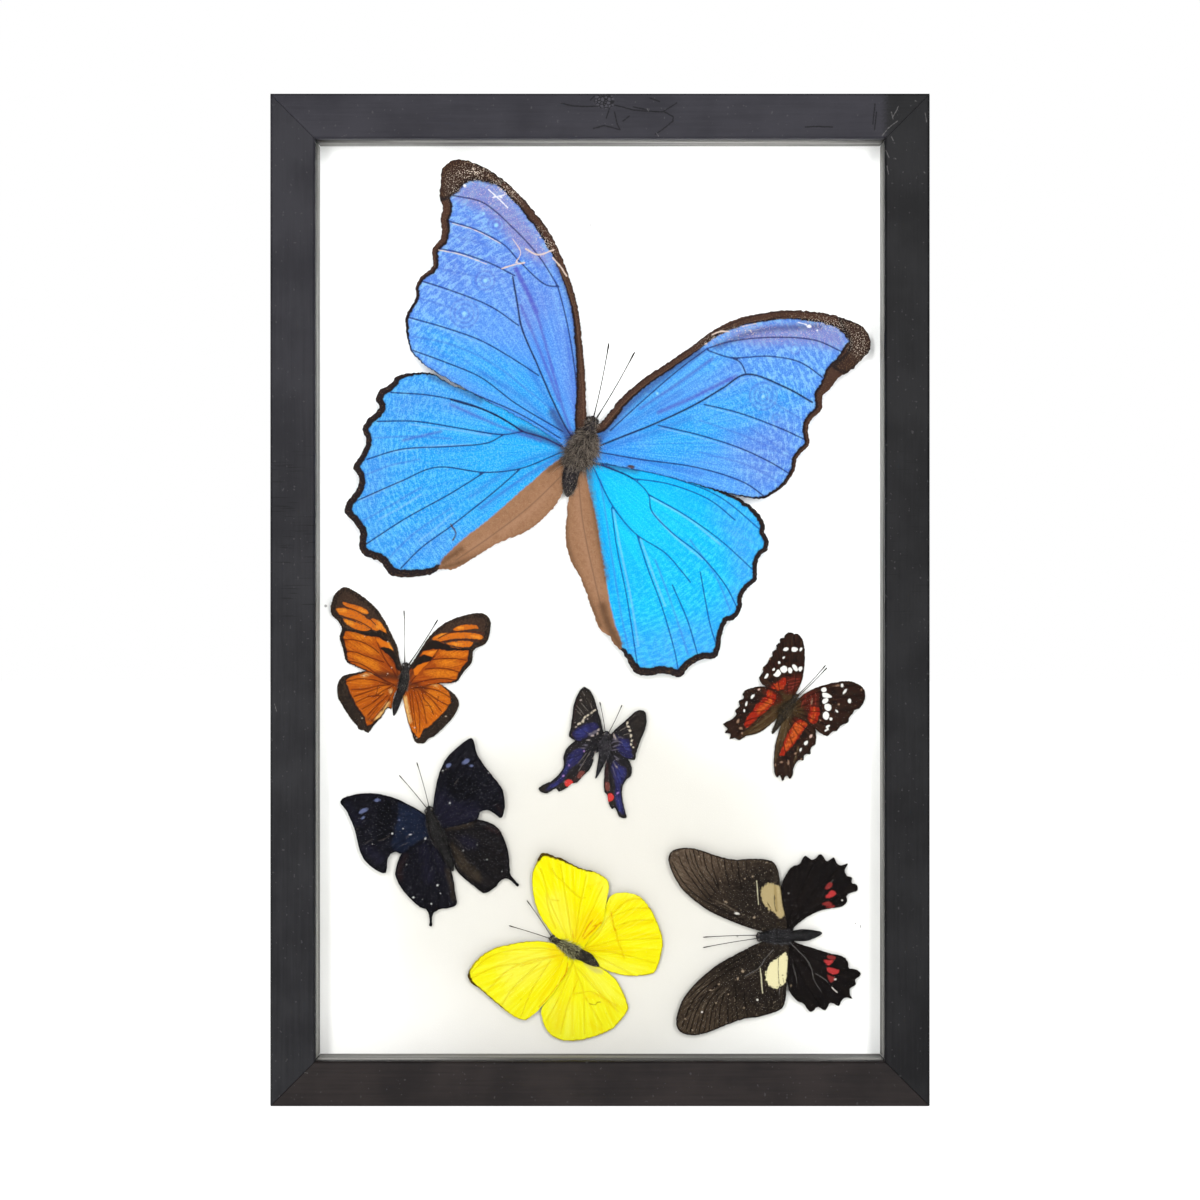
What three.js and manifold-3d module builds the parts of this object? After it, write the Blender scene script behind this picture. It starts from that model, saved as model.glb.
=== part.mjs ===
// A shadow-box frame with seven spread butterflies behind glass.
// Millimetres, +Z up. The frame stands upright with its front towards -Y;
// the origin is the centre of its back face, which lies at y = 0.

import * as THREE from 'three';
import { mergeVertices } from 'three/addons/utils/BufferGeometryUtils.js';
import Module from 'manifold-3d';

const wasm = await Module();
wasm.setup();

// ---- driving dimensions ----
const frameWidth = 198;
const frameHeight = 304;
const frameDepth = 22;
const railWidth = 13.5; // seen from the front
const lipDepth = 3.4; // thickness of the rail's front lip
const lipOverhang = 4; // how far the lip covers the glass
const edgeChamfer = 0.6; // on the rail's two front edges
const gap = 0.3; // air between pieces that touch

const glassThickness = 2;
const spacerDepth = 7.7;
const boardThickness = 4.7;
const backThickness = 3;

const hangerWidth = 44;
const hangerHeight = 7;
const hangerThickness = 0.8;
const hangerTeeth = 11;
const nailSpacing = 36;
const nailRadius = 0.7;
const nailHeadRadius = 1.5;
const nailLength = 7;

const wingThickness = 0.4;
const wingCell = 15; // spacing of the creases that curve a wing
const outlineStep = 3.4; // longest side of a wing's edge
const bodyFlatness = 0.8; // height of a body over its width
const antennaRadius = 0.2;

// ---- depths, from the front to the back ----
const frontY = -frameDepth;
const lipBackY = frontY + lipDepth;
const glassFrontY = lipBackY + gap;
const glassBackY = glassFrontY + glassThickness;
const spacerFrontY = glassBackY + gap;
const spacerBackY = spacerFrontY + spacerDepth;
const boardFrontY = spacerBackY + gap;
const boardBackY = boardFrontY + boardThickness;

// ---- the layout sheet: specimens are drawn on a sheet with its corner at the top left ----
const sheetUnit = 0.303; // millimetres for one step of the sheet
const sheetCentre = [599.5, 600];
const onSheet = ([u, v]) => [(u - sheetCentre[0]) * sheetUnit, (sheetCentre[1] - v) * sheetUnit];

const colours = {
  blackWood: 0x2b2a2d,
  spacer: 0x6f6d6a,
  board: 0xf8f7f2,
  panel: 0x8a6a48,
  steel: 0xb9b9b4,
};

// ---- solids ----

function toSolid(geometry) {
  const plain = geometry.clone();
  plain.deleteAttribute('normal');
  plain.deleteAttribute('uv');
  const merged = mergeVertices(plain, 1e-4);
  return new wasm.Manifold(new wasm.Mesh({
    numProp: 3,
    vertProperties: new Float32Array(merged.attributes.position.array),
    triVerts: new Uint32Array(merged.index.array),
  }));
}

function toGeometry(solid) {
  const { vertProperties, triVerts } = solid.getMesh();
  const geometry = new THREE.BufferGeometry();
  geometry.setAttribute('position', new THREE.BufferAttribute(vertProperties, 3));
  geometry.setIndex(new THREE.BufferAttribute(triVerts, 1));
  geometry.computeVertexNormals();
  return geometry;
}

const object = new THREE.Group();

function addPiece(name, geometry, color, roughness = 0.6, metalness = 0) {
  const material = new THREE.MeshStandardMaterial({ color, roughness, metalness });
  const mesh = new THREE.Mesh(geometry, material);
  mesh.name = name;
  object.add(mesh);
  return mesh;
}

// A box from its low and high corners.
function boxBetween(low, high) {
  const box = new THREE.BoxGeometry(high[0] - low[0], high[1] - low[1], high[2] - low[2]);
  return box.translate((low[0] + high[0]) / 2, (low[1] + high[1]) / 2, (low[2] + high[2]) / 2);
}

// A strip with 45 degree mitres. Its section is given as points of
// (distance in from the frame's outer edge, depth y). It lies along the top of the frame
// and is turned about Y to its side.
function mitredStrip(section, alongHalf, acrossHalf, turn) {
  const shape = new THREE.Shape(section.map(([inset, y]) => new THREE.Vector2(inset, y)));
  const geometry = new THREE.ExtrudeGeometry(shape, { depth: 1, bevelEnabled: false });
  const position = geometry.attributes.position;
  for (let i = 0; i < position.count; i++) {
    const inset = position.getX(i);
    const end = position.getZ(i) > 0.5 ? 1 : -1;
    const along = end * (alongHalf - inset - gap / Math.SQRT2);
    position.setXYZ(i, along, position.getY(i), acrossHalf - inset);
  }
  return geometry.rotateY(turn);
}

const sides = [
  ['top', frameWidth / 2, frameHeight / 2, 0],
  ['right', frameHeight / 2, frameWidth / 2, Math.PI / 2],
  ['bottom', frameWidth / 2, frameHeight / 2, Math.PI],
  ['left', frameHeight / 2, frameWidth / 2, -Math.PI / 2],
];

// ---- frame rails ----
const rebate = railWidth - lipOverhang;
const railSection = [
  [0, 0],
  [0, frontY + edgeChamfer],
  [edgeChamfer, frontY],
  [railWidth - edgeChamfer, frontY],
  [railWidth, frontY + edgeChamfer],
  [railWidth, lipBackY],
  [rebate, lipBackY],
  [rebate, 0],
];

const hangerZ = frameHeight / 2 - rebate / 2;

function nailHole(side) {
  const hole = new THREE.CylinderGeometry(nailRadius + gap, nailRadius + gap, 2 * (nailLength + gap), 12);
  return hole.translate(side * nailSpacing / 2, 0, hangerZ);
}

for (const [side, alongHalf, acrossHalf, turn] of sides) {
  let rail = toSolid(mitredStrip(railSection, alongHalf, acrossHalf, turn));
  if (side === 'top') {
    rail = rail.subtract(toSolid(nailHole(-1))).subtract(toSolid(nailHole(1)));
  }
  addPiece(`frame_${side}`, toGeometry(rail), colours.blackWood, 0.45);
}

// ---- spacers that line the box behind the glass ----
const spacerSection = [
  [rebate + gap, spacerFrontY],
  [railWidth, spacerFrontY],
  [railWidth, spacerBackY],
  [rebate + gap, spacerBackY],
];
for (const [side, alongHalf, acrossHalf, turn] of sides) {
  addPiece(`spacer_${side}`, mitredStrip(spacerSection, alongHalf, acrossHalf, turn), colours.spacer, 0.7);
}

// ---- glass, white board and back panel ----
function panel(yLow, yHigh) {
  const halfX = frameWidth / 2 - rebate - gap;
  const halfZ = frameHeight / 2 - rebate - gap;
  return boxBetween([-halfX, yLow, -halfZ], [halfX, yHigh, halfZ]);
}
const glass = addPiece('glass', panel(glassFrontY, glassBackY), 0xffffff, 0.03);
glass.material.transparent = true;
glass.material.opacity = 0.15;
addPiece('white_board', panel(boardFrontY, boardBackY), colours.board, 0.8);
addPiece('back_panel', panel(-backThickness, 0), colours.panel, 0.7);

// ---- sawtooth hanger and its two nails, on the back of the top rail ----
function hangerPlate() {
  const half = hangerWidth / 2;
  const toothedHalf = nailSpacing / 2 - 4;
  const toothPitch = 2 * toothedHalf / hangerTeeth;
  const low = -hangerHeight / 2;
  const archZ = low + 2.2;
  const shape = new THREE.Shape();
  shape.moveTo(-half, low);
  shape.lineTo(-toothedHalf - 1.2, low);
  shape.lineTo(-toothedHalf, archZ);
  for (let i = 0; i < hangerTeeth; i++) {
    const left = -toothedHalf + i * toothPitch;
    shape.lineTo(left + toothPitch / 2, archZ - 1.3);
    shape.lineTo(left + toothPitch, archZ);
  }
  shape.lineTo(toothedHalf + 1.2, low);
  shape.lineTo(half, low);
  shape.lineTo(half, -low);
  shape.lineTo(-half, -low);
  for (const side of [-1, 1]) {
    const hole = new THREE.Path();
    hole.absarc(side * nailSpacing / 2, 0, nailRadius + gap, 0, 2 * Math.PI, true);
    shape.holes.push(hole);
  }
  const plate = new THREE.ExtrudeGeometry(shape, {
    depth: hangerThickness, bevelEnabled: false, curveSegments: 12,
  });
  return plate.rotateX(Math.PI / 2).translate(0, gap + hangerThickness, hangerZ);
}

function nail(side) {
  const headLow = 2 * gap + hangerThickness;
  const shankEnd = -nailLength + headLow;
  const profile = [
    [0, shankEnd - 1], [nailRadius, shankEnd], [nailRadius, headLow],
    [nailHeadRadius, headLow], [nailHeadRadius * 0.8, headLow + 0.4], [0, headLow + 0.5],
  ];
  const lathe = new THREE.LatheGeometry(profile.map(([r, y]) => new THREE.Vector2(r, y)), 12);
  return lathe.translate(side * nailSpacing / 2, 0, hangerZ);
}

addPiece('hanger', hangerPlate(), colours.steel, 0.35, 0.9);
addPiece('hanger_nail_left', toGeometry(toSolid(nail(-1))), colours.steel, 0.35, 0.9);
addPiece('hanger_nail_right', toGeometry(toSolid(nail(1))), colours.steel, 0.35, 0.9);

// ---- specimens: outlines and bodies in steps of the layout sheet ----
// spine: points along the body, each (u, v, half width). antennae: from the head to the tip.
// height: middle of the body above the board, mm. tipRise: how much higher the wing tips are, mm.

const morpho = {
  name: 'morpho',
  colours: { body: 0x3a332c, forewing: 0x4f8df0, hindwing: 0x2aa4f4 },
  height: 3.75,
  tipRise: 1.6,
  span: 85,
  spine: [
    [593, 415, 2], [592, 420, 6], [590, 426, 5.5], [587, 434, 10], [583, 446, 14], [578, 458, 12],
    [573, 466, 8], [570, 473, 8.3], [568.5, 484, 8], [567, 492, 5], [566.5, 497, 1],
  ],
  antennae: [[[592, 421], [608.5, 342]], [[594, 421], [634.5, 351]]],
  forewing_left: [
    [588, 432], [586, 413], [585, 383], [582, 345], [577, 306], [567, 272], [552, 237], [528, 204],
    [500, 177], [476, 163], [457, 159], [448, 162], [441, 169], [440.5, 180], [439, 196], [442, 207],
    [440, 216], [441, 232], [439, 239], [431.5, 250], [432, 265], [421, 276], [415, 286], [415, 297],
    [406.5, 313], [404.5, 320], [406, 333], [407, 341], [412, 353], [427, 367], [449, 380],
    [481, 398], [520, 418], [556, 440], [570, 452], [584, 450],
  ],
  forewing_right: [
    [590, 428], [600, 422], [622, 396], [646, 376], [669, 361], [692, 345], [710, 331.5], [730, 321],
    [750, 315], [783, 310], [820, 312], [850, 320], [864, 328], [870.5, 341], [869, 351], [861, 360],
    [848, 372], [839, 377], [830, 389], [823, 395], [821, 409], [811, 420], [808, 427], [808.5, 445],
    [797, 457.5], [794, 471], [785, 484], [775, 492.5], [762, 498.5], [744, 497], [705, 486.5],
    [649, 472], [610, 464], [588, 458],
  ],
  hindwing_left: [
    [576, 444], [545, 432], [520, 424], [480, 404], [450, 384], [430, 372.5], [410, 372.5],
    [396, 375.5], [390, 383], [379, 390], [374.5, 398], [378, 407], [366, 420], [361.5, 429],
    [365.5, 440], [361, 453], [352.5, 467], [358, 477], [356, 488], [344.5, 505], [344, 512],
    [354, 524], [359, 533], [358, 547], [362, 554], [379, 562], [390, 575], [411, 577], [431, 574],
    [439, 569], [451, 569.5], [468, 560.5], [495, 544], [528, 529.5], [553, 507], [562, 492],
    [567, 472], [574, 460],
  ],
  hindwing_right: [
    [584, 452], [640, 464], [690, 481], [734, 495.5], [752, 507], [764, 522], [765, 529],
    [764.5, 532], [768.5, 540], [767, 550], [759, 557], [757, 570], [757, 579], [748, 587.5],
    [742, 597], [741, 609], [734, 619.5], [727, 622], [721.5, 634], [720, 649], [714, 658.5],
    [703, 659], [689, 667], [679.5, 677.5], [666, 674], [643, 676], [634, 672], [626, 659],
    [621, 651], [613, 644], [609, 636], [600, 630], [593, 614], [582, 583], [569, 557], [565, 537],
    [566, 516], [568, 496], [573, 478], [578, 462],
  ],
};

const longwing = {
  name: 'longwing',
  colours: { body: 0x242220, forewing: 0xd9741a, hindwing: 0xc96a1c },
  height: 1.65,
  tipRise: 0.9,
  span: 30,
  spine: [
    [405, 662.5, 1.5], [405, 666, 4.2], [404, 671, 3.4], [403, 677, 5.2], [402, 684, 5.2],
    [400.5, 690, 4.6], [397.5, 696, 3.8], [395, 703, 4.2], [393.5, 710, 3], [392, 717, 0.8],
  ],
  antennae: [[[403, 665], [402.3, 610]], [[407, 665], [436.5, 619.5]]],
  forewing_left: [
    [401, 670], [398, 660], [396, 648], [391, 637], [383, 621], [376, 610], [367, 601], [359, 595],
    [350, 589.5], [343, 587], [337, 590], [332, 596], [329, 606], [329.5, 614], [337, 622],
    [340, 629], [338, 637], [341, 649], [345, 662], [352, 666], [369, 673.5], [382, 681],
    [393, 687], [401, 688],
  ],
  forewing_right: [
    [404, 672], [408.5, 666], [414, 658], [425, 640.5], [432, 632.5], [440, 625.5], [450, 620],
    [461, 616], [477, 613], [484, 614.5], [489, 620], [489.5, 628], [487, 640], [483, 645],
    [477, 647.5], [472, 652], [471, 662], [463, 672], [455.5, 682], [450, 683.5], [437, 684],
    [420, 687], [403, 688],
  ],
  hindwing_left: [
    [400, 680], [385, 674], [367, 671], [352, 673.5], [343, 675.5], [338, 679.5], [335, 689],
    [336, 698], [341, 707.5], [348.5, 719], [355, 727], [357, 730.5], [361, 731], [366, 733.5],
    [372, 726], [380, 717.5], [386, 708.5], [389, 710], [391, 701], [394, 692], [400, 689],
  ],
  hindwing_right: [
    [403, 682], [420, 682], [435, 683], [447, 690], [455, 697], [457.5, 705], [453, 716],
    [447, 723.5], [440, 730.5], [432, 737.5], [427.5, 739], [422.5, 744], [413.5, 743], [410, 733],
    [406, 722.5], [402.5, 707], [401, 699], [401, 690],
  ],
};

const metalmark = {
  name: 'metalmark',
  colours: { body: 0x232325, forewing: 0x24201f, hindwing: 0x23264a },
  height: 1.65,
  tipRise: 0.5,
  span: 20,
  spine: [
    [607, 731.5, 1.2], [606, 735, 3.6], [605, 739, 3.6], [604.5, 745, 5.5], [604, 752, 5.5],
    [602.5, 758, 4.6], [601, 763, 3.8], [599, 769, 2.8], [597, 775, 1.5], [595, 780, 0.6],
  ],
  antennae: [[[605, 734], [599.3, 702.5]], [[608, 734], [621.7, 705.5]]],
  forewing_left: [
    [604, 738], [602, 729], [600, 720], [596.5, 708], [593, 697], [589, 690.5], [583.5, 687.5],
    [580, 690], [576.5, 696], [573, 706], [571.5, 717], [569.5, 730], [568, 735.5], [569, 738],
    [575, 741.5], [588, 744], [604, 747],
  ],
  forewing_right: [
    [605, 738], [610, 735], [615, 730], [627, 719.5], [635.5, 712], [641, 710.7], [645, 713],
    [646.5, 721], [644.5, 731], [639, 744.5], [636, 754], [634.5, 760.5], [628, 760], [616, 755],
    [605, 750],
  ],
  hindwing_left: [
    [604, 744], [588, 741], [576, 741], [569, 746], [564.5, 752], [562.5, 759.5], [563, 764],
    [562, 770], [555.5, 778], [549, 783], [541, 786.5], [537.5, 790.5], [545, 794.7], [555, 790],
    [558, 792.5], [565.5, 789.5], [571, 785], [576, 783.7], [583, 776.5], [589, 771], [592.5, 763],
    [594.5, 755], [603, 750],
  ],
  hindwing_right: [
    [604, 748], [618, 752], [628, 760], [631.5, 770], [630.5, 777], [626, 781], [622.3, 788],
    [622, 799], [625, 813], [626, 819], [619, 818], [616.5, 813], [614, 809], [612, 810.3],
    [608.5, 805], [606.5, 796.5], [604, 793], [603.3, 784], [604, 773], [605, 762], [603, 753],
  ],
};

const peacock = {
  name: 'peacock',
  colours: { body: 0x2b2621, forewing: 0x2b241e, hindwing: 0x8c3420 },
  height: 1.7,
  tipRise: 0.8,
  span: 26,
  spine: [
    [798.5, 694.5, 1], [796.5, 698, 3], [793.5, 702, 3.2], [790, 706.5, 5.5], [786, 712, 6],
    [782, 718, 4.5], [779.5, 723, 3.2], [776.5, 728, 2.6], [774, 732, 1.9], [772.5, 735, 0.7],
  ],
  antennae: [[[797, 697], [826.5, 665.5]], [[797.5, 698], [828, 668]]],
  forewing_left: [
    [794, 703], [796, 696], [802, 683], [804.5, 671], [805.5, 656], [804, 642], [801, 636.5],
    [797, 633.7], [794.5, 634.3], [792, 632.6], [786.5, 634], [784.5, 637.5], [780.5, 639],
    [780, 643], [777, 645], [776.5, 649], [773, 652], [772.5, 657], [770, 658], [767.5, 663.5],
    [763, 668], [763, 672], [759.5, 678.5], [761, 683], [766, 687], [780, 694], [789, 706],
  ],
  forewing_right: [
    [791, 705], [798, 700], [807, 693], [816, 688.5], [835, 683], [850, 681.5], [858, 684],
    [864, 688.5], [866, 694], [864.5, 703], [860, 709], [855, 711], [853, 715], [850, 718],
    [848.5, 723], [842, 726], [837, 731.5], [832.5, 733], [828, 736.7], [822, 734.5], [812, 726.5],
    [800, 719], [787, 712],
  ],
  hindwing_left: [
    [790, 705], [778, 692], [767, 687.5], [754, 688], [745, 691.5], [743, 694.5], [744, 698.5],
    [739, 702], [740, 706.5], [735.5, 711], [736.5, 715], [732, 720], [723.5, 725], [727.5, 729.5],
    [725, 733.5], [731, 735], [730, 740], [735, 739], [739.5, 741], [747, 737], [760, 733.5],
    [775, 722], [784, 714],
  ],
  hindwing_right: [
    [787, 711], [804, 720], [815.5, 728], [817, 740], [816, 745.5], [812, 748.5], [811, 755],
    [806, 755.5], [804, 761], [799, 761.5], [794, 770], [793, 777], [790.5, 779.8], [787, 777],
    [783, 782.2], [780.5, 776.5], [777.5, 778.5], [775, 773], [774.5, 757], [776.5, 743],
    [781, 727], [783, 716],
  ],
};

const leafwing = {
  name: 'leafwing',
  colours: { body: 0x23221f, forewing: 0x1f1f27, hindwing: 0x26252a },
  height: 2.2,
  tipRise: 1.0,
  span: 32,
  spine: [
    [427, 806.5, 1], [427.5, 811, 4.3], [428.5, 816, 4], [430.5, 823, 6.6], [434, 833, 7.6],
    [438, 842, 6.6], [441.5, 849, 5.2], [445.5, 857, 5], [449, 865, 4], [452, 873, 1.3],
  ],
  antennae: [[[426, 810], [397.5, 776]], [[428, 809], [415.3, 763]]],
  forewing_left: [
    [431, 822], [421, 813.5], [411, 807.5], [392, 798.5], [370, 794], [350, 796], [341, 799.5],
    [339, 803.5], [345, 812], [353, 830.5], [358, 850.5], [361.5, 859], [369, 867], [376, 872],
    [383, 874.3], [385.3, 871], [386, 861], [389.5, 855], [394.5, 853], [399.5, 855], [413, 848.5],
    [424, 843], [435, 838],
  ],
  forewing_right: [
    [430, 820], [431.5, 808], [434.5, 787], [438, 774.5], [443, 762.5], [450, 753.5], [466, 740.5],
    [470.5, 738.8], [472.5, 741], [476, 754], [484, 767], [501, 789], [503, 796], [503.8, 809],
    [500, 818.8], [491, 813], [485.5, 811.3], [479.5, 812.8], [477, 819.5], [455, 827], [434, 829],
  ],
  hindwing_left: [
    [433, 836], [412, 846], [399.5, 855.5], [394.5, 869], [394, 877.5], [400, 890], [412.5, 904],
    [420, 909.8], [424.5, 911], [427, 915], [428.1, 920], [428.3, 928], [430.4, 928],
    [430.8, 920], [432, 915], [439, 911], [448, 909.7], [455.3, 906], [454.5, 898], [451, 876],
    [445, 856], [439, 840],
  ],
  hindwing_right: [
    [435, 826], [455, 822], [476, 820.5], [491, 825], [498, 830.5], [505, 845], [507.8, 857],
    [508.6, 869], [509.3, 875], [512.5, 880], [518.2, 886.6], [516.8, 888.2], [510.5, 882.5],
    [505.5, 880], [500, 882], [494.5, 888.5], [483.5, 894.7], [474, 889], [461, 878.5], [455, 872],
    [448, 854], [438, 838],
  ],
};

const sulphur = {
  name: 'sulphur',
  colours: { body: 0x2e2b20, forewing: 0xf4e51e, hindwing: 0xf2e63a },
  height: 1.95,
  tipRise: 1.0,
  span: 34,
  spine: [
    [549, 938.5, 1.2], [551.5, 940, 3.4], [556, 943.5, 3.2], [562, 946.5, 4.4], [569, 951, 6.2],
    [576, 955, 6.6], [582, 957.5, 5.4], [587.5, 960, 6], [592.5, 964, 4.4], [596.5, 967, 2.2],
    [599, 968.5, 0.7],
  ],
  antennae: [[[551, 939], [526, 902]], [[551, 941], [508, 927.5]]],
  forewing_left: [
    [567, 951], [558, 947], [543, 943.3], [523, 943.5], [507, 946.3], [492, 950.5], [478, 959.5],
    [470, 969], [466.5, 976.5], [469.5, 984], [477, 989.5], [490, 1000.5], [508, 1015],
    [516, 1019.7], [523, 1021.8], [528, 1020], [539, 1010.5], [555.5, 991], [567, 973], [573, 958],
  ],
  forewing_right: [
    [567, 950], [556, 941], [544, 925], [538, 915], [533, 900], [531.3, 884], [532, 873],
    [537, 861], [539.5, 855.5], [542.5, 854], [550, 855.5], [554.5, 858], [559, 858.5],
    [570, 864.5], [582, 870], [591, 871.8], [603, 877.6], [607.5, 882.5], [608.5, 890], [606, 903],
    [602, 924], [590, 939], [579, 954],
  ],
  hindwing_left: [
    [573, 955], [566, 972], [556, 990], [545, 1004], [540.5, 1012], [541, 1019], [544, 1029],
    [550, 1037], [559, 1042], [567, 1043.2], [580, 1042.4], [600, 1037], [611, 1031.7],
    [618, 1025.5], [628, 1011], [627.5, 1007], [622, 993.5], [616, 982.5], [603, 971.5],
    [591, 965], [580, 958],
  ],
  hindwing_right: [
    [578, 952], [596, 925], [606, 905], [611, 897], [620, 894.3], [631, 895], [639, 898],
    [650, 910], [659, 929], [662.8, 943], [661, 957], [656.5, 971], [653, 975.5], [632, 978.5],
    [617, 976.5], [601, 970], [590, 961], [582, 957],
  ],
};

const swallowtail = {
  name: 'swallowtail',
  colours: { body: 0x1f1e20, forewing: 0x2d2722, hindwing: 0x1c1a1b },
  height: 2.1,
  tipRise: 0.8,
  span: 32,
  spine: [
    [756, 938, 1.5], [759, 938.5, 4.2], [764, 938.5, 5], [771, 938.5, 6.6], [780, 938.5, 7.2],
    [788, 938.5, 6.4], [794, 937.5, 5], [800, 937, 6.2], [808, 937, 6.2], [815, 936, 4],
    [820, 935.3, 2.4], [823, 935, 0.8],
  ],
  antennae: [[[759, 937], [703, 939]], [[759, 940], [703, 949.5]]],
  forewing_left: [
    [778, 940], [760, 944.5], [739, 954.5], [717.5, 966.5], [706, 975.5], [696, 984.5],
    [688, 993.5], [681.5, 1003.5], [678, 1012.5], [676, 1023], [677.5, 1031], [682, 1035],
    [690, 1037], [698, 1036.8], [709, 1034], [726, 1027], [745, 1020.6], [757, 1019],
    [777, 1013.3], [782.5, 1010], [785.5, 1003], [787, 990], [788.3, 969], [789, 950], [788, 940],
  ],
  forewing_right: [
    [776, 937], [761, 933], [745, 928], [722, 919], [710, 913], [698, 905], [682, 890.5],
    [675, 880], [670, 868.5], [668.3, 859.5], [670, 854], [675, 850.5], [686, 848.8], [699, 850.7],
    [718, 857.2], [736, 860.8], [752, 859.8], [768, 861], [774.5, 864], [778.5, 872],
    [780.8, 886], [783.5, 907], [787, 926], [787, 937],
  ],
  hindwing_left: [
    [788, 939], [797, 944.5], [812, 949.5], [833, 956], [843, 958.2], [849, 964], [850, 970],
    [855, 970.8], [861.5, 975], [861, 978], [856.3, 981.5], [856.5, 986.5], [851, 991], [851, 997],
    [853.5, 1001], [847, 999.7], [843, 1002], [839.5, 1008], [831.5, 1005], [825.5, 1012.7],
    [818.7, 1009.2], [811.5, 1014.3], [804, 1006], [797.5, 1003], [789.5, 992.5], [787, 975],
    [784, 950], [782, 939],
  ],
  hindwing_right: [
    [784, 937], [783, 910], [781.5, 888], [790, 871], [794, 867.3], [799, 866], [806, 857],
    [811.5, 860.8], [815, 860.6], [820.8, 855.6], [823.5, 857], [827.5, 862.7], [834.5, 858.8],
    [838, 865], [842, 867], [848.5, 865], [845.5, 872], [848.5, 877.5], [853, 879], [852.5, 884],
    [858, 887], [858.5, 892], [848.3, 896.5], [847.5, 904], [843, 908], [826, 911.3], [816, 914.6],
    [805, 921], [795, 929.5], [791, 937],
  ],
};

// ---- bodies ----

// A closed body through rings that stand across a spine. Each ring is
// { x, y, z, across, deep }: its centre and its half width and half depth.
function loft(rings, sideCount) {
  const points = [];
  rings.forEach((ring, i) => {
    const before = rings[Math.max(i - 1, 0)];
    const after = rings[Math.min(i + 1, rings.length - 1)];
    const along = new THREE.Vector2(after.x - before.x, after.z - before.z).normalize();
    for (let k = 0; k < sideCount; k++) {
      const angle = 2 * Math.PI * k / sideCount;
      const across = ring.across * Math.cos(angle);
      points.push(ring.x + along.y * across, ring.y + ring.deep * Math.sin(angle), ring.z - along.x * across);
    }
  });
  const triangles = [];
  for (let i = 0; i < rings.length - 1; i++) {
    for (let k = 0; k < sideCount; k++) {
      const a = i * sideCount + k;
      const b = i * sideCount + (k + 1) % sideCount;
      triangles.push(a, b, a + sideCount, b, b + sideCount, a + sideCount);
    }
  }
  const last = (rings.length - 1) * sideCount;
  for (let k = 1; k < sideCount - 1; k++) {
    triangles.push(0, k + 1, k, last, last + k, last + k + 1);
  }
  const geometry = new THREE.BufferGeometry();
  geometry.setAttribute('position', new THREE.Float32BufferAttribute(points, 3));
  geometry.setIndex(triangles);
  return geometry;
}

// The trunk of a specimen, grown by an extra margin all round.
function trunk(specimen, margin) {
  const y = boardFrontY - specimen.height;
  const rings = specimen.spine.map(([u, v, halfWidth]) => {
    const [x, z] = onSheet([u, v]);
    const across = halfWidth * sheetUnit;
    return { x, y, z, across: across + margin, deep: across * bodyFlatness + margin };
  });
  return loft(rings, 10);
}

function antenna(specimen, [start, tip]) {
  const y = boardFrontY - specimen.height;
  const [startX, startZ] = onSheet(start);
  const [tipX, tipZ] = onSheet(tip);
  const rings = [0, 0.86, 0.95, 1].map((t, i) => {
    const radius = antennaRadius * [1, 1, 1.5, 0.8][i];
    return {
      x: startX + (tipX - startX) * t, y: y - 0.5 * Math.sin(Math.PI * t), z: startZ + (tipZ - startZ) * t,
      across: radius, deep: radius,
    };
  });
  return loft(rings, 5);
}

// ---- wings ----

function wingOutline(points) {
  const corners = points.map((point) => new THREE.Vector3(...onSheet(point), 0));
  const curve = new THREE.CatmullRomCurve3(corners, true, 'centripetal');
  const outline = [];
  corners.forEach((corner, i) => {
    const next = corners[(i + 1) % corners.length];
    const steps = Math.max(1, Math.round(corner.distanceTo(next) / outlineStep));
    for (let k = 0; k < steps; k++) {
      const point = curve.getPoint((i + k / steps) / corners.length);
      outline.push(new THREE.Vector2(point.x, point.y));
    }
  });
  return outline;
}

// Height of a specimen's wings above the board: a low arch that rises away from the body.
function wingHeight(specimen, x, z) {
  const head = onSheet(specimen.spine[0]);
  const tail = onSheet(specimen.spine[specimen.spine.length - 1]);
  const length = Math.hypot(tail[0] - head[0], tail[1] - head[1]);
  const across = (tail[0] - head[0]) * (z - head[1]) - (tail[1] - head[1]) * (x - head[0]);
  const reach = Math.min(1, Math.abs(across) / length / specimen.span);
  return specimen.height + specimen.tipRise * Math.sin(reach * Math.PI / 2);
}

function wing(specimen, points, drop) {
  const outline = wingOutline(points);
  const box = new THREE.Box2().setFromPoints(outline).expandByScalar(2);
  const size = box.getSize(new THREE.Vector2());
  const centre = box.getCenter(new THREE.Vector2());
  const cells = [size.x, size.y].map((side) => Math.max(2, Math.round(side / wingCell)));
  const sheet = new THREE.BoxGeometry(size.x, wingThickness, size.y, cells[0], 1, cells[1]);
  const position = sheet.attributes.position;
  for (let i = 0; i < position.count; i++) {
    const x = position.getX(i) + centre.x;
    const z = position.getZ(i) + centre.y;
    const y = boardFrontY - wingHeight(specimen, x, z) + drop + position.getY(i);
    position.setXYZ(i, x, y, z);
  }
  const cutter = new THREE.ExtrudeGeometry(new THREE.Shape(outline), { depth: frameDepth, bevelEnabled: false });
  cutter.rotateX(Math.PI / 2);
  const cut = toSolid(sheet).intersect(toSolid(cutter));
  return cut.subtract(toSolid(trunk(specimen, gap)));
}

// The hindwings lie just behind the forewings that cover their leading edges.
const wingLayers = [
  ['forewing_left', 0], ['forewing_right', 0],
  ['hindwing_left', wingThickness + gap + 0.05], ['hindwing_right', wingThickness + gap + 0.05],
];

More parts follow.
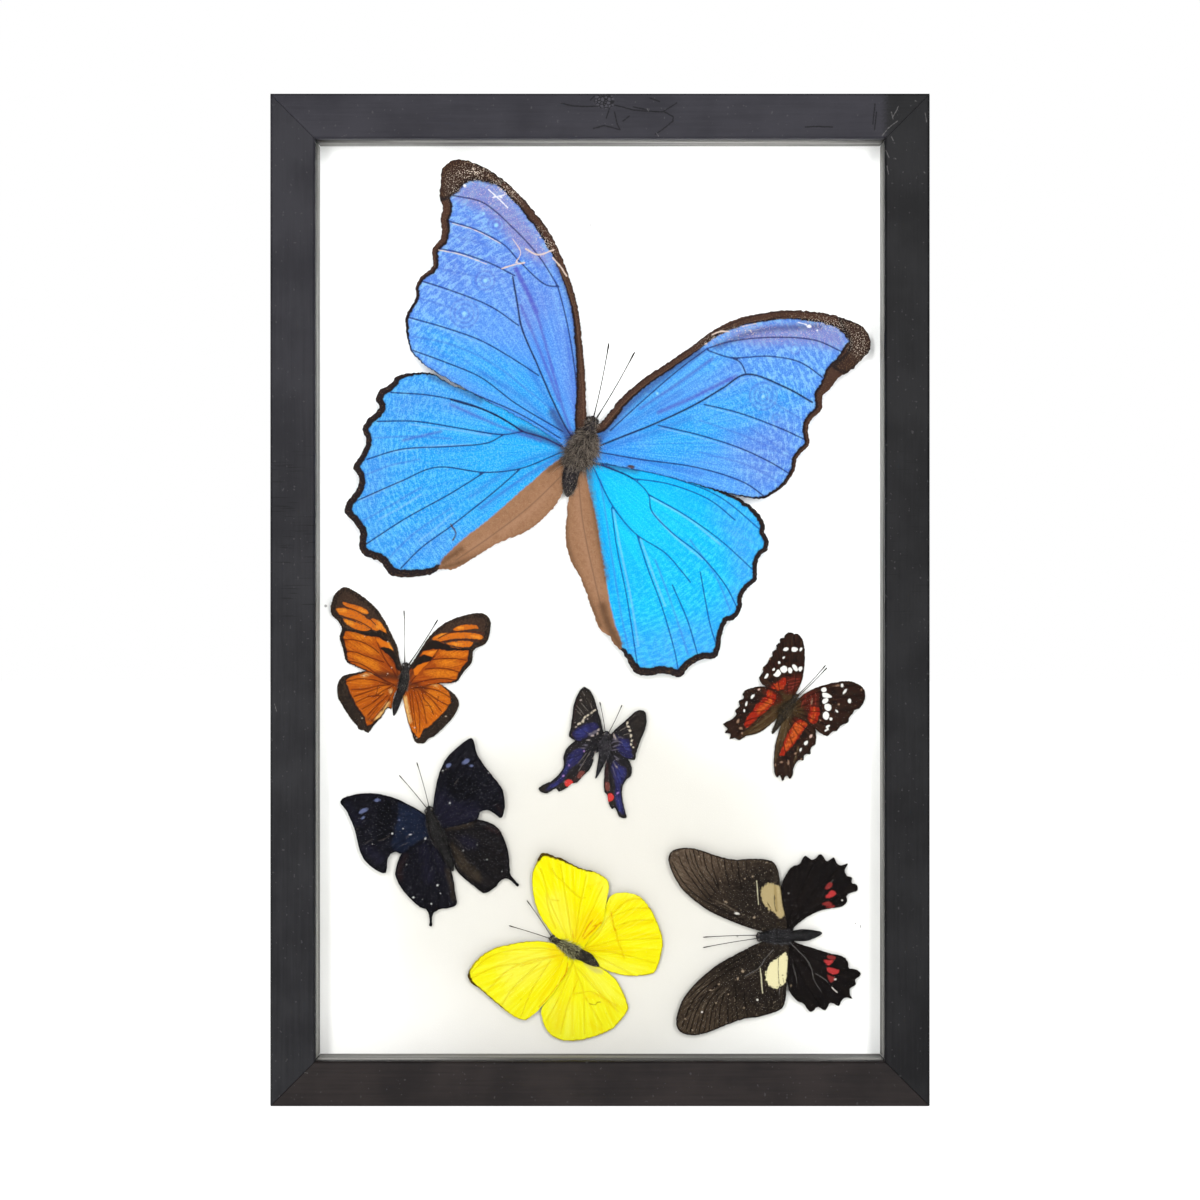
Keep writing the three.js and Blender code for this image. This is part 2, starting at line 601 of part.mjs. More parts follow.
for (const specimen of [morpho, longwing, metalmark, peacock, leafwing, sulphur, swallowtail]) {
  let body = toSolid(trunk(specimen, 0));
  for (const line of specimen.antennae) {
    body = body.add(toSolid(antenna(specimen, line)));
  }
  addPiece(`${specimen.name}_body`, toGeometry(body), specimen.colours.body, 0.9);
  for (const [layer, drop] of wingLayers) {
    const colour = specimen.colours[layer.split('_')[0]];
    addPiece(`${specimen.name}_${layer}`, toGeometry(wing(specimen, specimen[layer], drop)), colour, 0.55);
  }
}

export default object;
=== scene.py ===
import math

import bpy
import numpy as np
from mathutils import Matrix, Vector
from mathutils.geometry import delaunay_2d_cdt


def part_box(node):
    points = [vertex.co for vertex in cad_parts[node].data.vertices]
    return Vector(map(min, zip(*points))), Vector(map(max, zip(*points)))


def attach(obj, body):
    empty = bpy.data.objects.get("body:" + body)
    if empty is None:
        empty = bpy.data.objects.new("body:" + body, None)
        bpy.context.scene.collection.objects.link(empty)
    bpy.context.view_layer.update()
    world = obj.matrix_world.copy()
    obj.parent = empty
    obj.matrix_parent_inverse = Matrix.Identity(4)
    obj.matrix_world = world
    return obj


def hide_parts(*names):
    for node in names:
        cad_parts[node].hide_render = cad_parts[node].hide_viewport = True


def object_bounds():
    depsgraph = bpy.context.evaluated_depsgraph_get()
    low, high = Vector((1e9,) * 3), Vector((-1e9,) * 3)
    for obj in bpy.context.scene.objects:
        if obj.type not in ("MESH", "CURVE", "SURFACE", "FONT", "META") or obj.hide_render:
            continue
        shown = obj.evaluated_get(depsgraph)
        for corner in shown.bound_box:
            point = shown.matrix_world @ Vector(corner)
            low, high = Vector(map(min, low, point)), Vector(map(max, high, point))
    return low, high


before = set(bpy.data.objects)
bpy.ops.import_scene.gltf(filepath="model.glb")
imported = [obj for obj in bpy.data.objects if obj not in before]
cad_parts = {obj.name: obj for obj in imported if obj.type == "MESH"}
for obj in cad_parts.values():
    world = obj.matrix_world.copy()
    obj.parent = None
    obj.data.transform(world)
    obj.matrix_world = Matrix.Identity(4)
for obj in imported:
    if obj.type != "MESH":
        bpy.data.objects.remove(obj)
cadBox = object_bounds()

# the specimens are laid out on a sheet that is drawn from its top left corner
sheet = {
    'step': 0.000303,       # metres for one step of the sheet
    'centre': (599.5, 600.0),
    'boardFront': -0.008,   # depth of the board that carries the specimens
    'glassBack': -0.0163,
}

studio = {
    'gain': 1.8,            # how bright a white sheet on the board comes out
    'sidePower': 21.0,      # soft lamps stand round the camera
    'topPower': 7.6,
    'lampDistance': 2.0,
    'roomPower': 0.565,
    'roomTone': 0.4,        # the sides of the room against its front
    'cameraDistance': 0.772,
    'lens': 77.2,
}

mm = 0.001

bpy.ops.object.select_all(action='DESELECT')


def onSheet(u, v):
    # x and z of a place on the sheet, in metres
    return ((u - sheet['centre'][0]) * sheet['step'], (sheet['centre'][1] - v) * sheet['step'])


def paint(r, g, b):
    # a colour as it should look on the wall of the studio, made into a paint
    linear = []
    for c in (r / 255, g / 255, b / 255):
        linear.append(c / 12.92 if c < 0.04045 else ((c + 0.055) / 1.055) ** 2.4)
    return [c / studio['gain'] for c in linear] + [1.0]


class Wire:
    # a socket that can stand in a sum
    def __init__(self, finish, socket):
        self.finish = finish
        self.socket = socket

    def __add__(self, other):
        return self.finish.maths('ADD', self, other)

    def __sub__(self, other):
        return self.finish.maths('SUBTRACT', self, other)

    def __rsub__(self, other):
        return self.finish.maths('SUBTRACT', other, self)

    def __mul__(self, other):
        return self.finish.maths('MULTIPLY', self, other)

    __radd__ = __add__
    __rmul__ = __mul__


class Finish:
    # one material; add() puts in any node, surface() closes it
    def __init__(self, name):
        self.material = bpy.data.materials.new(name)
        self.material.use_nodes = True
        self.tree = self.material.node_tree
        self.tree.nodes.clear()

    def add(self, kind, settings=None, inputs=None, out=0):
        node = self.tree.nodes.new('ShaderNode' + kind)
        for key, value in (settings or {}).items():
            setattr(node, key, value)
        for key, value in (inputs or {}).items():
            if isinstance(value, Wire):
                self.tree.links.new(value.socket, node.inputs[key])
            else:
                node.inputs[key].default_value = value
        return Wire(self, node.outputs[out]) if node.outputs else None

    def maths(self, operation, a, b):
        return self.add('Math', {'operation': operation}, {0: a, 1: b})

    def mix(self, factor, a, b):
        return self.add('Mix', {'data_type': 'RGBA'}, {0: factor, 6: a, 7: b}, out=2)

    def place(self):
        return self.add('TexCoord', out=3)

    def along(self, vector, axis):
        return self.add('SeparateXYZ', None, {0: vector}, out='XYZ'.index(axis))

    def length(self, vector):
        return self.add('VectorMath', {'operation': 'LENGTH'}, {0: vector}, out=1)

    def turned(self, vector, scale, rotation=(0, 0, 0), location=(0, 0, 0)):
        return self.add('Mapping', None, {
            'Vector': vector, 'Scale': scale, 'Rotation': rotation, 'Location': location})

    def mark(self, name):
        return self.add('Attribute', {'attribute_name': name}, out=2)

    def noise(self, vector, scale, detail=2.0, roughness=0.5):
        return self.add('TexNoise', None, {
            'Vector': vector, 'Scale': scale, 'Detail': detail, 'Roughness': roughness})

    def between(self, value, low, high, lowOut=0.0, highOut=1.0):
        # soft step from low to high
        return self.add('MapRange', {'interpolation_type': 'SMOOTHSTEP'}, {
            'Value': value, 'From Min': low, 'From Max': high, 'To Min': lowOut, 'To Max': highOut})

    def bump(self, height, distance, strength=1.0):
        return self.add('Bump', None, {'Height': height, 'Distance': distance, 'Strength': strength})

    def surface(self, inputs):
        shader = self.add('BsdfPrincipled', None, inputs)
        self.add('OutputMaterial', None, {'Surface': shader})
        return self.material


def makeCamera():
    data = bpy.data.cameras.new('camera')
    data.lens = studio['lens']
    data.sensor_width = 36.0
    data.clip_start = 0.01
    camera = bpy.data.objects.new('camera', data)
    bpy.context.scene.collection.objects.link(camera)
    camera.location = (0, cadFront - studio['cameraDistance'], 0)
    camera.rotation_euler = (math.radians(90), 0, 0)
    bpy.context.scene.camera = camera


def makeLamp(name, power, size, place):
    data = bpy.data.lights.new(name, 'AREA')
    data.energy = power
    data.shape = 'RECTANGLE'
    data.size, data.size_y = size
    lamp = bpy.data.objects.new(name, data)
    bpy.context.scene.collection.objects.link(lamp)
    lamp.location = place
    lamp.rotation_euler = (-Vector(place)).to_track_quat('-Z', 'Y').to_euler()


def makeRoom():
    world = bpy.data.worlds.new('room')
    bpy.context.scene.world = world
    world.use_nodes = True
    tree = world.node_tree
    tree.nodes.clear()
    direction = tree.nodes.new('ShaderNodeTexCoord')
    split = tree.nodes.new('ShaderNodeSeparateXYZ')
    tree.links.new(direction.outputs['Generated'], split.inputs[0])
    # the room is dark in the cone that the glass would mirror to the front, bright around it
    ramp = tree.nodes.new('ShaderNodeValToRGB')
    ramp.color_ramp.interpolation = 'EASE'
    stops = ((0.0, 0.02), (0.008, 0.02), (0.022, 1.0), (0.16, 1.0), (0.3, studio['roomTone']))
    for at, tone in stops[2:]:
        ramp.color_ramp.elements.new(at)
    for element, (at, tone) in zip(ramp.color_ramp.elements, stops):
        element.position = at
        element.color = (tone, tone, tone, 1)
    height = tree.nodes.new('ShaderNodeMapRange')
    height.inputs['From Min'].default_value = -1.0
    tree.links.new(split.outputs['Y'], height.inputs['Value'])
    tree.links.new(height.outputs[0], ramp.inputs[0])
    soft = tree.nodes.new('ShaderNodeBackground')
    tree.links.new(ramp.outputs[0], soft.inputs['Color'])
    soft.inputs['Strength'].default_value = studio['roomPower']
    seen = tree.nodes.new('ShaderNodeBackground')
    seen.inputs['Color'].default_value = (1, 1, 1, 1)
    path = tree.nodes.new('ShaderNodeLightPath')
    both = tree.nodes.new('ShaderNodeMixShader')
    tree.links.new(path.outputs['Is Camera Ray'], both.inputs[0])
    tree.links.new(soft.outputs[0], both.inputs[1])
    tree.links.new(seen.outputs[0], both.inputs[2])
    out = tree.nodes.new('ShaderNodeOutputWorld')
    tree.links.new(both.outputs[0], out.inputs[0])


floorLook = {
    'size': 8,
    'below': 0.2 * mm,
    'low': (0.86, 0.86, 0.85, 1),
    'high': (0.89, 0.89, 0.88, 1),
    'glow': 0.85,
}


def makeFloor():
    bpy.ops.mesh.primitive_plane_add(
        size=floorLook['size'], location=(0, 0, cadBox[0].z - floorLook['below']))
    floor = bpy.context.object
    floor.name = 'studioFloor'
    bpy.ops.object.transform_apply(location=True)
    finish = Finish('pale floor')
    grain = finish.noise(finish.place(), 30.0)
    finish.surface({
        'Base Color': finish.mix(grain, floorLook['low'], floorLook['high']),
        'Roughness': 0.9,
        'Emission Color': (1, 1, 1, 1),
        'Emission Strength': floorLook['glow'],
    })
    floor.data.materials.append(finish.material)


cadFront = cadBox[0].y
makeCamera()
makeRoom()
for name, across in (('leftLamp', -0.6), ('rightLamp', 0.6)):
    makeLamp(name, studio['sidePower'], (0.3, 1.0), (across, -studio['lampDistance'], 0.36))
makeLamp('topLamp', studio['topPower'], (0.9, 0.3), (0, -studio['lampDistance'], 0.8))
makeFloor()
bpy.context.scene.view_settings.view_transform = 'Standard'
print('studio is set')


def pickOnly(piece, *others):
    bpy.ops.object.select_all(action='DESELECT')
    for each in (*others, piece):
        each.select_set(True)
    bpy.context.view_layer.objects.active = piece


def finishPiece(piece, material, slot, *nodes):
    piece.data.materials.clear()
    piece.data.materials.append(material)
    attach(piece, 'root')
    if nodes:
        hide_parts(*nodes)


def softCopy(node, name, edge, segments=2, angle=30, reach=0.0):
    # a copy of a CAD piece with its faces joined up and its sharp edges rounded;
    # reach lengthens it a little at both ends, so that mitres close
    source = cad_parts[node]
    piece = bpy.data.objects.new(name, source.data.copy())
    bpy.context.scene.collection.objects.link(piece)
    low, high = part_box(node)
    axis = 0 if high.x - low.x > high.z - low.z else 2
    for vertex in piece.data.vertices:
        if abs(vertex.co[axis]) > 0.05:
            vertex.co[axis] += math.copysign(reach, vertex.co[axis])
    pickOnly(piece)
    bpy.ops.object.mode_set(mode='EDIT')
    bpy.ops.mesh.select_all(action='SELECT')
    bpy.ops.mesh.remove_doubles(threshold=0.00001)
    bpy.ops.mesh.dissolve_limited(angle_limit=math.radians(2))
    bpy.ops.object.mode_set(mode='OBJECT')
    bevel = piece.modifiers.new('soft edge', 'BEVEL')
    bevel.width = edge
    bevel.segments = segments
    bevel.limit_method = 'ANGLE'
    bevel.angle_limit = math.radians(angle)
    bpy.ops.object.modifier_apply(modifier=bevel.name)
    bpy.ops.object.shade_smooth_by_angle(angle=math.radians(40))
    level = piece.modifiers.new('flat faces', 'WEIGHTED_NORMAL')
    level.keep_sharp = True
    bpy.ops.object.modifier_apply(modifier=level.name)
    return piece


rails = {
    'edge': 0.00022,
    'closeMitre': 0.0002,
    'cornerSheenChange': (0.0838, 0.0872),  # where the top rail takes the painted sheen of the right one
    'leftChange': (-0.05, 0.12),       # where the left rail takes the painted sheen of the top one
    'notches': (-0.012, 0.05),         # the stretch of the side rails that is notched
    'crackEdge': (0.0003, 0.00008),
    'scratchEdge': (0.0002, 0.00002),
    'knock': (604, 101),               # the paint is crazed round it
    'knockEdge': (0.0036, 0.0026),
    'tones': {  # painted sheen: each rail's black paint takes the tone it shows under the light, so the rails are lit and shaded copies of one paint
        'top': ((45, 44, 51), (57, 56, 63)),
        'left': ((32, 32, 35), (46, 46, 49)),
        'right': ((23, 23, 25), (36, 36, 38)),
        'bottom': ((35, 31, 31), (49, 43, 42)),
    },
    'step': 0.0003,  # metres for one step of the sheet on the front of the rails
    'cracks': {
        'top': [
            [(560, 103), (572.5, 106), (585, 106.5), (599, 106)],
            [(614, 105), (624.5, 107.7), (633, 110), (643, 110.8), (662, 112), (670, 107), (676, 103)],
            [(664, 112), (672.6, 116.5), (672.5, 121), (662, 129.5), (655, 134)],
            [(609, 108), (605.8, 118)], [(614, 112), (616.7, 124), (619.4, 129.6)],
            [(593, 128.5), (603.8, 125.5), (619.4, 129.6)], [(622.5, 121), (629, 116)],
            [(649.6, 98), (659, 101.5)], [(633, 107), (646, 109.6)], [(594, 96), (590, 100)],
            [(874.6, 104), (873.4, 114), (872.4, 124)], [(876, 112), (874, 130)],
            [(805, 127), (818, 126.4), (832, 127)],
        ],
        'right': [[(888, 100), (887, 108)], [(884, 152), (886, 166)]],
    },
    'scratches': {
        'top': [
            [(881.5, 136), (887.5, 128.5), (893, 123.8), (897, 121)],
            [(898, 106), (896, 110.6), (892, 117.2)], [(891, 112), (892.6, 119)],
            [(914.6, 100.6), (916, 101.4)], [(911, 119), (913.4, 119.6)], [(656, 133), (658, 136)],
            [(646.6, 109), (648, 111)],
        ],
        'right': [
            [(881.5, 136), (887.5, 128.5), (893, 123.8), (897, 121)], [(891, 137), (892.8, 140.6)],
            [(885.3, 150), (888.5, 157.5)], [(886.4, 166), (888, 174)], [(894, 158), (895.4, 159)],
            [(924.6, 113), (925.2, 116)], [(925.6, 118), (926, 122)], [(923.4, 172), (924.6, 173)],
        ],
        'bottom': [
            [(286, 1065), (296, 1071), (307, 1073)], [(291, 1072), (300, 1069)],
            [(900, 1062), (908, 1067), (917, 1068)], [(912, 1056), (914, 1063)],
        ],
        'left': [[(274, 704), (276, 711)]],
    },
}


def onRail(u, v):
    # the front of the rails stands nearer, so a step is smaller there
    return Vector(((u - sheet['centre'][0]) * rails['step'], (sheet['centre'][1] - v) * rails['step']))


def strokes(finish, place, several):
    # how far each point of the front is from the nearest of several broken lines
    near = 1.0
    for stroke in several:
        for start, end in zip(stroke, stroke[1:]):
            a, run = onRail(*start), onRail(*end) - onRail(*start)
            turn = math.atan2(run.y, run.x)
            c, s = math.cos(turn), math.sin(turn)
            local = finish.turned(place, (1, 0, 1), (0, turn, 0), (-a.x * c - a.y * s, 0, a.x * s - a.y * c))
            capped = finish.add('VectorMath', {'operation': 'MINIMUM'}, {0: local, 1: (run.length, 0, 0)})
            capped = finish.add('VectorMath', {'operation': 'MAXIMUM'}, {0: capped, 1: (0, 0, 0)})
            gap = finish.add('VectorMath', {'operation': 'DISTANCE'}, {0: local, 1: capped}, out=1)
            near = finish.maths('MINIMUM', near, gap)
    return near


def blackWood(side):
    def tone(name):
        low, high = rails['tones'][name]
        return finish.mix(depth, paint(*low), paint(*high))

    finish = Finish('black painted wood ' + side)
    place = finish.place()
    x, z = finish.along(place, 'X'), finish.along(place, 'Z')
    front = finish.between(finish.along(place, 'Y'), cadFront + 3 * mm, cadFront + 1.5 * mm)
    stretch = (9, 260, 260) if side in ('top', 'bottom') else (260, 260, 9)
    fibres = finish.noise(finish.turned(place, stretch), 4.0, 6.0, 0.6)
    clouds = finish.noise(place, 55.0, 3.0)
    dust = finish.noise(place, 900.0, 1.0)
    ragged = finish.noise(place, 1500.0, 3.0)
    depth = finish.between(clouds * 0.65 + fibres * 0.35, 0.36, 0.64)
    # painted sheen: each side starts from its own lit tone of the black paint
    colour = tone(side)
    # painted sheen: the lit tones of the rails run into each other near two of the corners
    if side == 'top':
        corner = finish.between(x + (ragged - 0.5) * 0.004, *rails['cornerSheenChange'])
        colour = finish.mix(corner, colour, tone('right'))
    if side == 'left':
        upperSheen = finish.between(z, *rails['leftChange'])
        colour = finish.mix(upperSheen * 0.6, colour, tone('top'))
    colour = finish.mix(finish.between(dust, 0.71, 0.76) * 0.35, colour, paint(96, 94, 96))
    if side in ('left', 'right'):
        notches = finish.between(finish.noise(finish.turned(place, (90, 90, 1900)), 1.0, 1.0), 0.63, 0.68)
        low, high = rails['notches']
        worn = finish.between(z, low, 0.0) * finish.between(z, high, 0.04)
        colour = finish.mix(notches * worn * 0.6, colour, paint(18, 18, 20))
    wobble = (ragged - 0.5) * 0.0005
    if side in rails['cracks']:
        crack = strokes(finish, place, rails['cracks'][side])
        crack = finish.between(crack + wobble, *rails['crackEdge'])
        colour = finish.mix(crack * front * 0.85, colour, paint(14, 13, 17))
    if side == 'top':
        middle = onRail(*rails['knock'])
        knock = finish.length(finish.turned(place, (1, 0, 1.3), location=(-middle.x, 0, -middle.y * 1.3)))
        cells = finish.add('TexVoronoi', {'feature': 'DISTANCE_TO_EDGE'}, {'Vector': place, 'Scale': 950.0})
        knock = finish.between(knock + wobble * 4, *rails['knockEdge']) * front
        colour = finish.mix(knock * 0.5, colour, paint(84, 82, 90))
        colour = finish.mix(knock * finish.between(cells, 0.16, 0.08) * 0.9, colour, paint(14, 13, 17))
    if side in rails['scratches']:
        scratch = strokes(finish, place, rails['scratches'][side])
        scratch = finish.between(scratch + wobble, *rails['scratchEdge'])
        colour = finish.mix(scratch * front * 0.42, colour, paint(136, 134, 134))
    height = fibres * 0.7 + clouds * 0.3
    return finish.surface({
        'Base Color': colour,
        'Roughness': 0.42 + fibres * 0.16,
        'Specular IOR Level': 0.07,
        'Normal': finish.bump(height, 0.00025, 0.5),
    })


for side in ('top', 'bottom', 'left', 'right'):
    rail = softCopy('frame_' + side, 'rail' + side.capitalize(), rails['edge'], 3, reach=rails['closeMitre'])
    finishPiece(rail, blackWood(side), 'black_wood', 'frame_' + side)


spacers = {'edge': 0.00015, 'dark': (92, 90, 85), 'light': (190, 188, 182), 'fibre': (120, 119, 116)}


def greyCard(side):
    finish = Finish('grey spacer card ' + side)
    place = finish.place()
    fibre = finish.noise(place, 1400.0, 3.0)
    layers = finish.noise(finish.turned(place, (9, 420, 9)), 1.0, 3.0, 0.6)
    colour = finish.mix(finish.between(layers, 0.4, 0.6), paint(*spacers['dark']), paint(*spacers['light']))
    return finish.surface({
        'Base Color': finish.mix(fibre * 0.35, colour, paint(*spacers['fibre'])),
        'Roughness': 0.55 + fibre * 0.2,
        'Normal': finish.bump(fibre, 0.0001, 0.4),
    })


for side in ('top', 'bottom', 'left', 'right'):
    strip = softCopy('spacer_' + side, 'spacerStrip' + side.capitalize(), spacers['edge'])
    finishPiece(strip, greyCard(side), 'spacer_strip', 'spacer_' + side)


boardLook = {
    'edge': 0.0003,
    'specks': [  # place and size of each speck of dust, in steps of the sheet
        (590, 222, 1.2, 1.0), (323, 606, 1.4, 1.3), (738, 939, 1.0, 1.0), (862, 929, 0.6, 1.8),
        (857, 926, 0.8, 0.7),
    ],
}


def boardPaper():
    finish = Finish('white board paper')
    place = finish.place()
    fibre = finish.noise(place, 2600.0, 2.0)
    cloud = finish.noise(place, 22.0, 3.0)

    def patch(u, v, wide, high, soft):
        # 1 in the middle of an oval of the sheet, 0 outside it
        x, z = onSheet(u, v)
        wide, high = wide * sheet['step'], high * sheet['step']
        shrunk = finish.turned(place, (1 / wide, 0, 1 / high), location=(-x / wide, 0, -z / high))
        return finish.between(finish.length(shrunk) + (cloud - 0.5) * 0.3, 1.0 + soft, 1.0 - soft)

    white = finish.mix(fibre, (0.93, 0.93, 0.925, 1), (0.97, 0.97, 0.965, 1))
    # painted shade: the next three patches make the lower middle of the board warmer and darker; the specks
    # after them are dust
    warm = finish.mix(patch(600, 890, 270, 230, 0.5), white, paint(246, 243, 235))
    warm = finish.mix(patch(600, 880, 120, 110, 0.8) * 0.7, warm, paint(240, 235, 224))
    warm = finish.mix(patch(470, 1030, 150, 70, 0.6) * 0.3, warm, paint(248, 242, 233))
    for speck in boardLook['specks']:
        warm = finish.mix(patch(*speck, 0.4) * 0.7, warm, paint(112, 106, 100))
    return finish.surface({
        'Base Color': warm,
        'Roughness': 0.85,
        'Normal': finish.bump(fibre, 0.00005, 0.4),
    })


board = softCopy('white_board', 'mountingBoard', boardLook['edge'])
finishPiece(board, boardPaper(), 'white_board', 'white_board')


glassLook = {'edge': 0.0002, 'bend': 1.45, 'straightOn': 0.033, 'mirror': 0.9, 'polish': 0.02}


def clearGlass():
    finish = Finish('clear glass')
    gloss = finish.add('BsdfAnisotropic', None, {'Color': (1, 1, 1, 1), 'Roughness': glassLook['polish']})
    clear = finish.add('BsdfTransparent', None, {'Color': (0.996, 0.999, 0.998, 1)})
    edge = finish.add('Fresnel', None, {'IOR': glassLook['bend']})
    within = finish.add('NewGeometry', None, {}, out=6)  # faces seen from within the pane don't mirror
    mirror = (edge - glassLook['straightOn']) * glassLook['mirror'] * (1 - within)
    both = finish.add('MixShader', None, {0: mirror, 1: clear, 2: gloss})
    finish.add('OutputMaterial', None, {'Surface': both})
    return finish.material


pane = softCopy('glass', 'glassPane', glassLook['edge'])
finishPiece(pane, clearGlass(), 'glass', 'glass')


backLook = {'edge': 0.0004, 'dark': (122, 88, 58), 'light': (158, 120, 84), 'stain': (104, 74, 50)}


def hardboard():
    finish = Finish('brown hardboard')
    place = finish.place()
    fibre = finish.noise(finish.turned(place, (1, 1, 0.6)), 900.0, 5.0, 0.65)
    cloud = finish.noise(place, 25.0, 3.0)
    colour = finish.mix(finish.between(fibre, 0.3, 0.7), paint(*backLook['dark']), paint(*backLook['light']))
    return finish.surface({
        'Base Color': finish.mix(cloud * 0.4, colour, paint(*backLook['stain'])),
        'Roughness': 0.6 + fibre * 0.25,
        'Normal': finish.bump(fibre, 0.0002, 0.7),
    })


back = softCopy('back_panel', 'backPanel', backLook['edge'])
finishPiece(back, hardboard(), 'back_panel', 'back_panel')


hangerLook = {'edge': 0.00012, 'dark': (150, 150, 148), 'light': (196, 196, 190), 'tarnish': (120, 104, 84)}


def zincSteel():
    finish = Finish('zinc plated steel')
    place = finish.place()
    brushed = finish.noise(finish.turned(place, (60, 900, 900)), 3.0, 4.0)
    bloom = finish.noise(place, 700.0, 3.0)
    colour = finish.mix(bloom, paint(*hangerLook['dark']), paint(*hangerLook['light']))
    tarnish = finish.between(bloom, 0.62, 0.72) * 0.5
    return finish.surface({
        'Base Color': finish.mix(tarnish, colour, paint(*hangerLook['tarnish'])),
        'Metallic': 1.0,
        'Roughness': 0.3 + brushed * 0.25,
        'Normal': finish.bump(brushed, 0.00005, 0.4),
    })


steel = zincSteel()
hanger = softCopy('hanger', 'sawtoothHanger', hangerLook['edge'])
finishPiece(hanger, steel, 'steel', 'hanger')
for side in ('left', 'right'):
    nail = softCopy('hanger_nail_' + side, 'hangerNail' + side.capitalize(), hangerLook['edge'], 2, 40)
    finishPiece(nail, steel, 'steel', 'hanger_nail_' + side)


def turnOutward(piece):
    pickOnly(piece)
    bpy.ops.object.mode_set(mode='EDIT')
    bpy.ops.mesh.select_all(action='SELECT')
    bpy.ops.mesh.normals_make_consistent(inside=False)
    bpy.ops.object.mode_set(mode='OBJECT')


print('frame is made')


def smoothLine(points, step, closed):
    # a curve through the points, with a new point at about every step
    p = np.reshape(points, (-1, 2)).astype(float)
    count = len(p)
    line = []
    for i in range(count if closed else count - 1):
        if closed:
            a, b, c, d = p[i - 1], p[i], p[(i + 1) % count], p[(i + 2) % count]
        else:
            b, c = p[i], p[i + 1]
            a = p[i - 1] if i else 2 * b - c
            d = p[i + 2] if i + 2 < count else 2 * c - b
        t = np.cumsum([0] + [max(np.linalg.norm(y - x), 1e-6) ** 0.5 for x, y in ((a, b), (b, c), (c, d))])
        pieces = max(1, round(np.linalg.norm(c - b) / step))
        for s in np.linspace(t[1], t[2], pieces, endpoint=False):
            e = [((t[k + 1] - s) * q + (s - t[k]) * r) / (t[k + 1] - t[k])
                 for k, (q, r) in enumerate(((a, b), (b, c), (c, d)))]
            f = [((t[k + 2] - s) * e[k] + (s - t[k]) * e[k + 1]) / (t[k + 2] - t[k]) for k in (0, 1)]
            line.append(((t[2] - s) * f[0] + (s - t[1]) * f[1]) / (t[2] - t[1]))
    if not closed:
        line.append(p[-1])
    return np.array(line)


def nearest(points, line, closed):
    # distance of each point to a line, and how far along the line's points that is
    a = line if closed else line[:-1]
    b = np.roll(line, -1, 0) if closed else line[1:]
    run = b - a
    size = np.maximum((run ** 2).sum(1), 1e-12)
    distance, along = [], []
    for part in np.array_split(points, len(points) // 3000 + 1):
        t = np.clip(((part[:, None] - a) * run).sum(2) / size, 0, 1)
        gap = np.linalg.norm(part[:, None] - (a + t[..., None] * run), axis=2)
        k = gap.argmin(1)
        row = np.arange(len(part))
        distance.append(gap[row, k])
        along.append(k + t[row, k])
    return np.concatenate(distance), np.concatenate(along)


def inside(points, line):
    # which points lie in the closed line
    a, b = line, np.roll(line, -1, 0)
    result = []
    for part in np.array_split(points, len(points) // 3000 + 1):
        x, y = part[:, None, 0], part[:, None, 1]
        crosses = (a[:, 1] > y) != (b[:, 1] > y)
        rise = np.where(b[:, 1] == a[:, 1], 1e-9, b[:, 1] - a[:, 1])
        at = a[:, 0] + (y - a[:, 1]) / rise * (b[:, 0] - a[:, 0])
        result.append((crosses & (x < at)).sum(1) % 2 == 1)
    return np.concatenate(result)


def shapeDistance(points, shape):
    # how far outside a mark each point is, in steps of the sheet; inside is negative
    kind = shape[0]
    if kind == 'line':
        return nearest(points, smoothLine(shape[2], 2.0, False), False)[0] - shape[1] / 2
    if kind == 'area':
        edge = smoothLine(shape[1], 1.5, True)
        return nearest(points, edge, True)[0] * np.where(inside(points, edge), -1, 1)
    centre, wide, high, tilt = shape[1:]
    c, s = math.cos(math.radians(tilt)), math.sin(math.radians(tilt))
    q = points - np.array(centre)
    across = (q[:, 0] * c + q[:, 1] * s) / (wide / 2)
    up = (-q[:, 0] * s + q[:, 1] * c) / (high / 2)
    reach = np.hypot(across, up)
    if kind == 'ring':
        return np.abs(reach - 1) * min(wide, high) / 2 - 0.5
    return (reach - 1) * min(wide, high) / 2


def spot(u, v, wide, high=None, tilt=0):
    return ('spot', (u, v), wide, high or wide, tilt)


def ring(u, v, wide):
    return ('ring', (u, v), wide, wide, 0)


def line(width, *points):
    return ('line', width, points)


def area(*points):
    return ('area', points)


def lines(width, *several):
    return [('line', width, points) for points in several]


def bodyAxis(species):
    head = np.array(species['spine'][0][:2])
    tail = np.array(species['spine'][-1][:2])
    return head, (tail - head) / np.linalg.norm(tail - head)


def wingHeight(species, points):
    # the wings rise in a low arch from the body to their tips
    head, axis = bodyAxis(species)
    q = points - head
    across = np.abs(q[:, 0] * axis[1] - q[:, 1] * axis[0]) * sheet['step'] / (species['span'] * mm)
    rise = np.sin(np.minimum(across, 1) * math.pi / 2)
    return species['height'] * mm + species['tipRise'] * mm * rise


wingMesh = {
    'rowHeight': 0.866,     # rows of points stand this many cells apart
    'closest': 0.45,        # cells between a point and the edge, at the least
    'furthest': 60,         # steps, past which a distance isn't kept
    'veinHeight': 0.06 * mm,
    'veinWidth': 0.9,       # steps
}


def raggedEdge(edge, chance, amount):
    run = np.roll(edge, -2, 0) - np.roll(edge, 2, 0)
    normal = np.stack([run[:, 1], -run[:, 0]], 1) / np.maximum(np.linalg.norm(run, axis=1), 1e-9)[:, None]
    ragged = np.convolve(chance.normal(0, 1, len(edge) + 2), (0.25, 0.5, 0.25), 'valid')
    return edge + normal * (ragged * amount)[:, None]


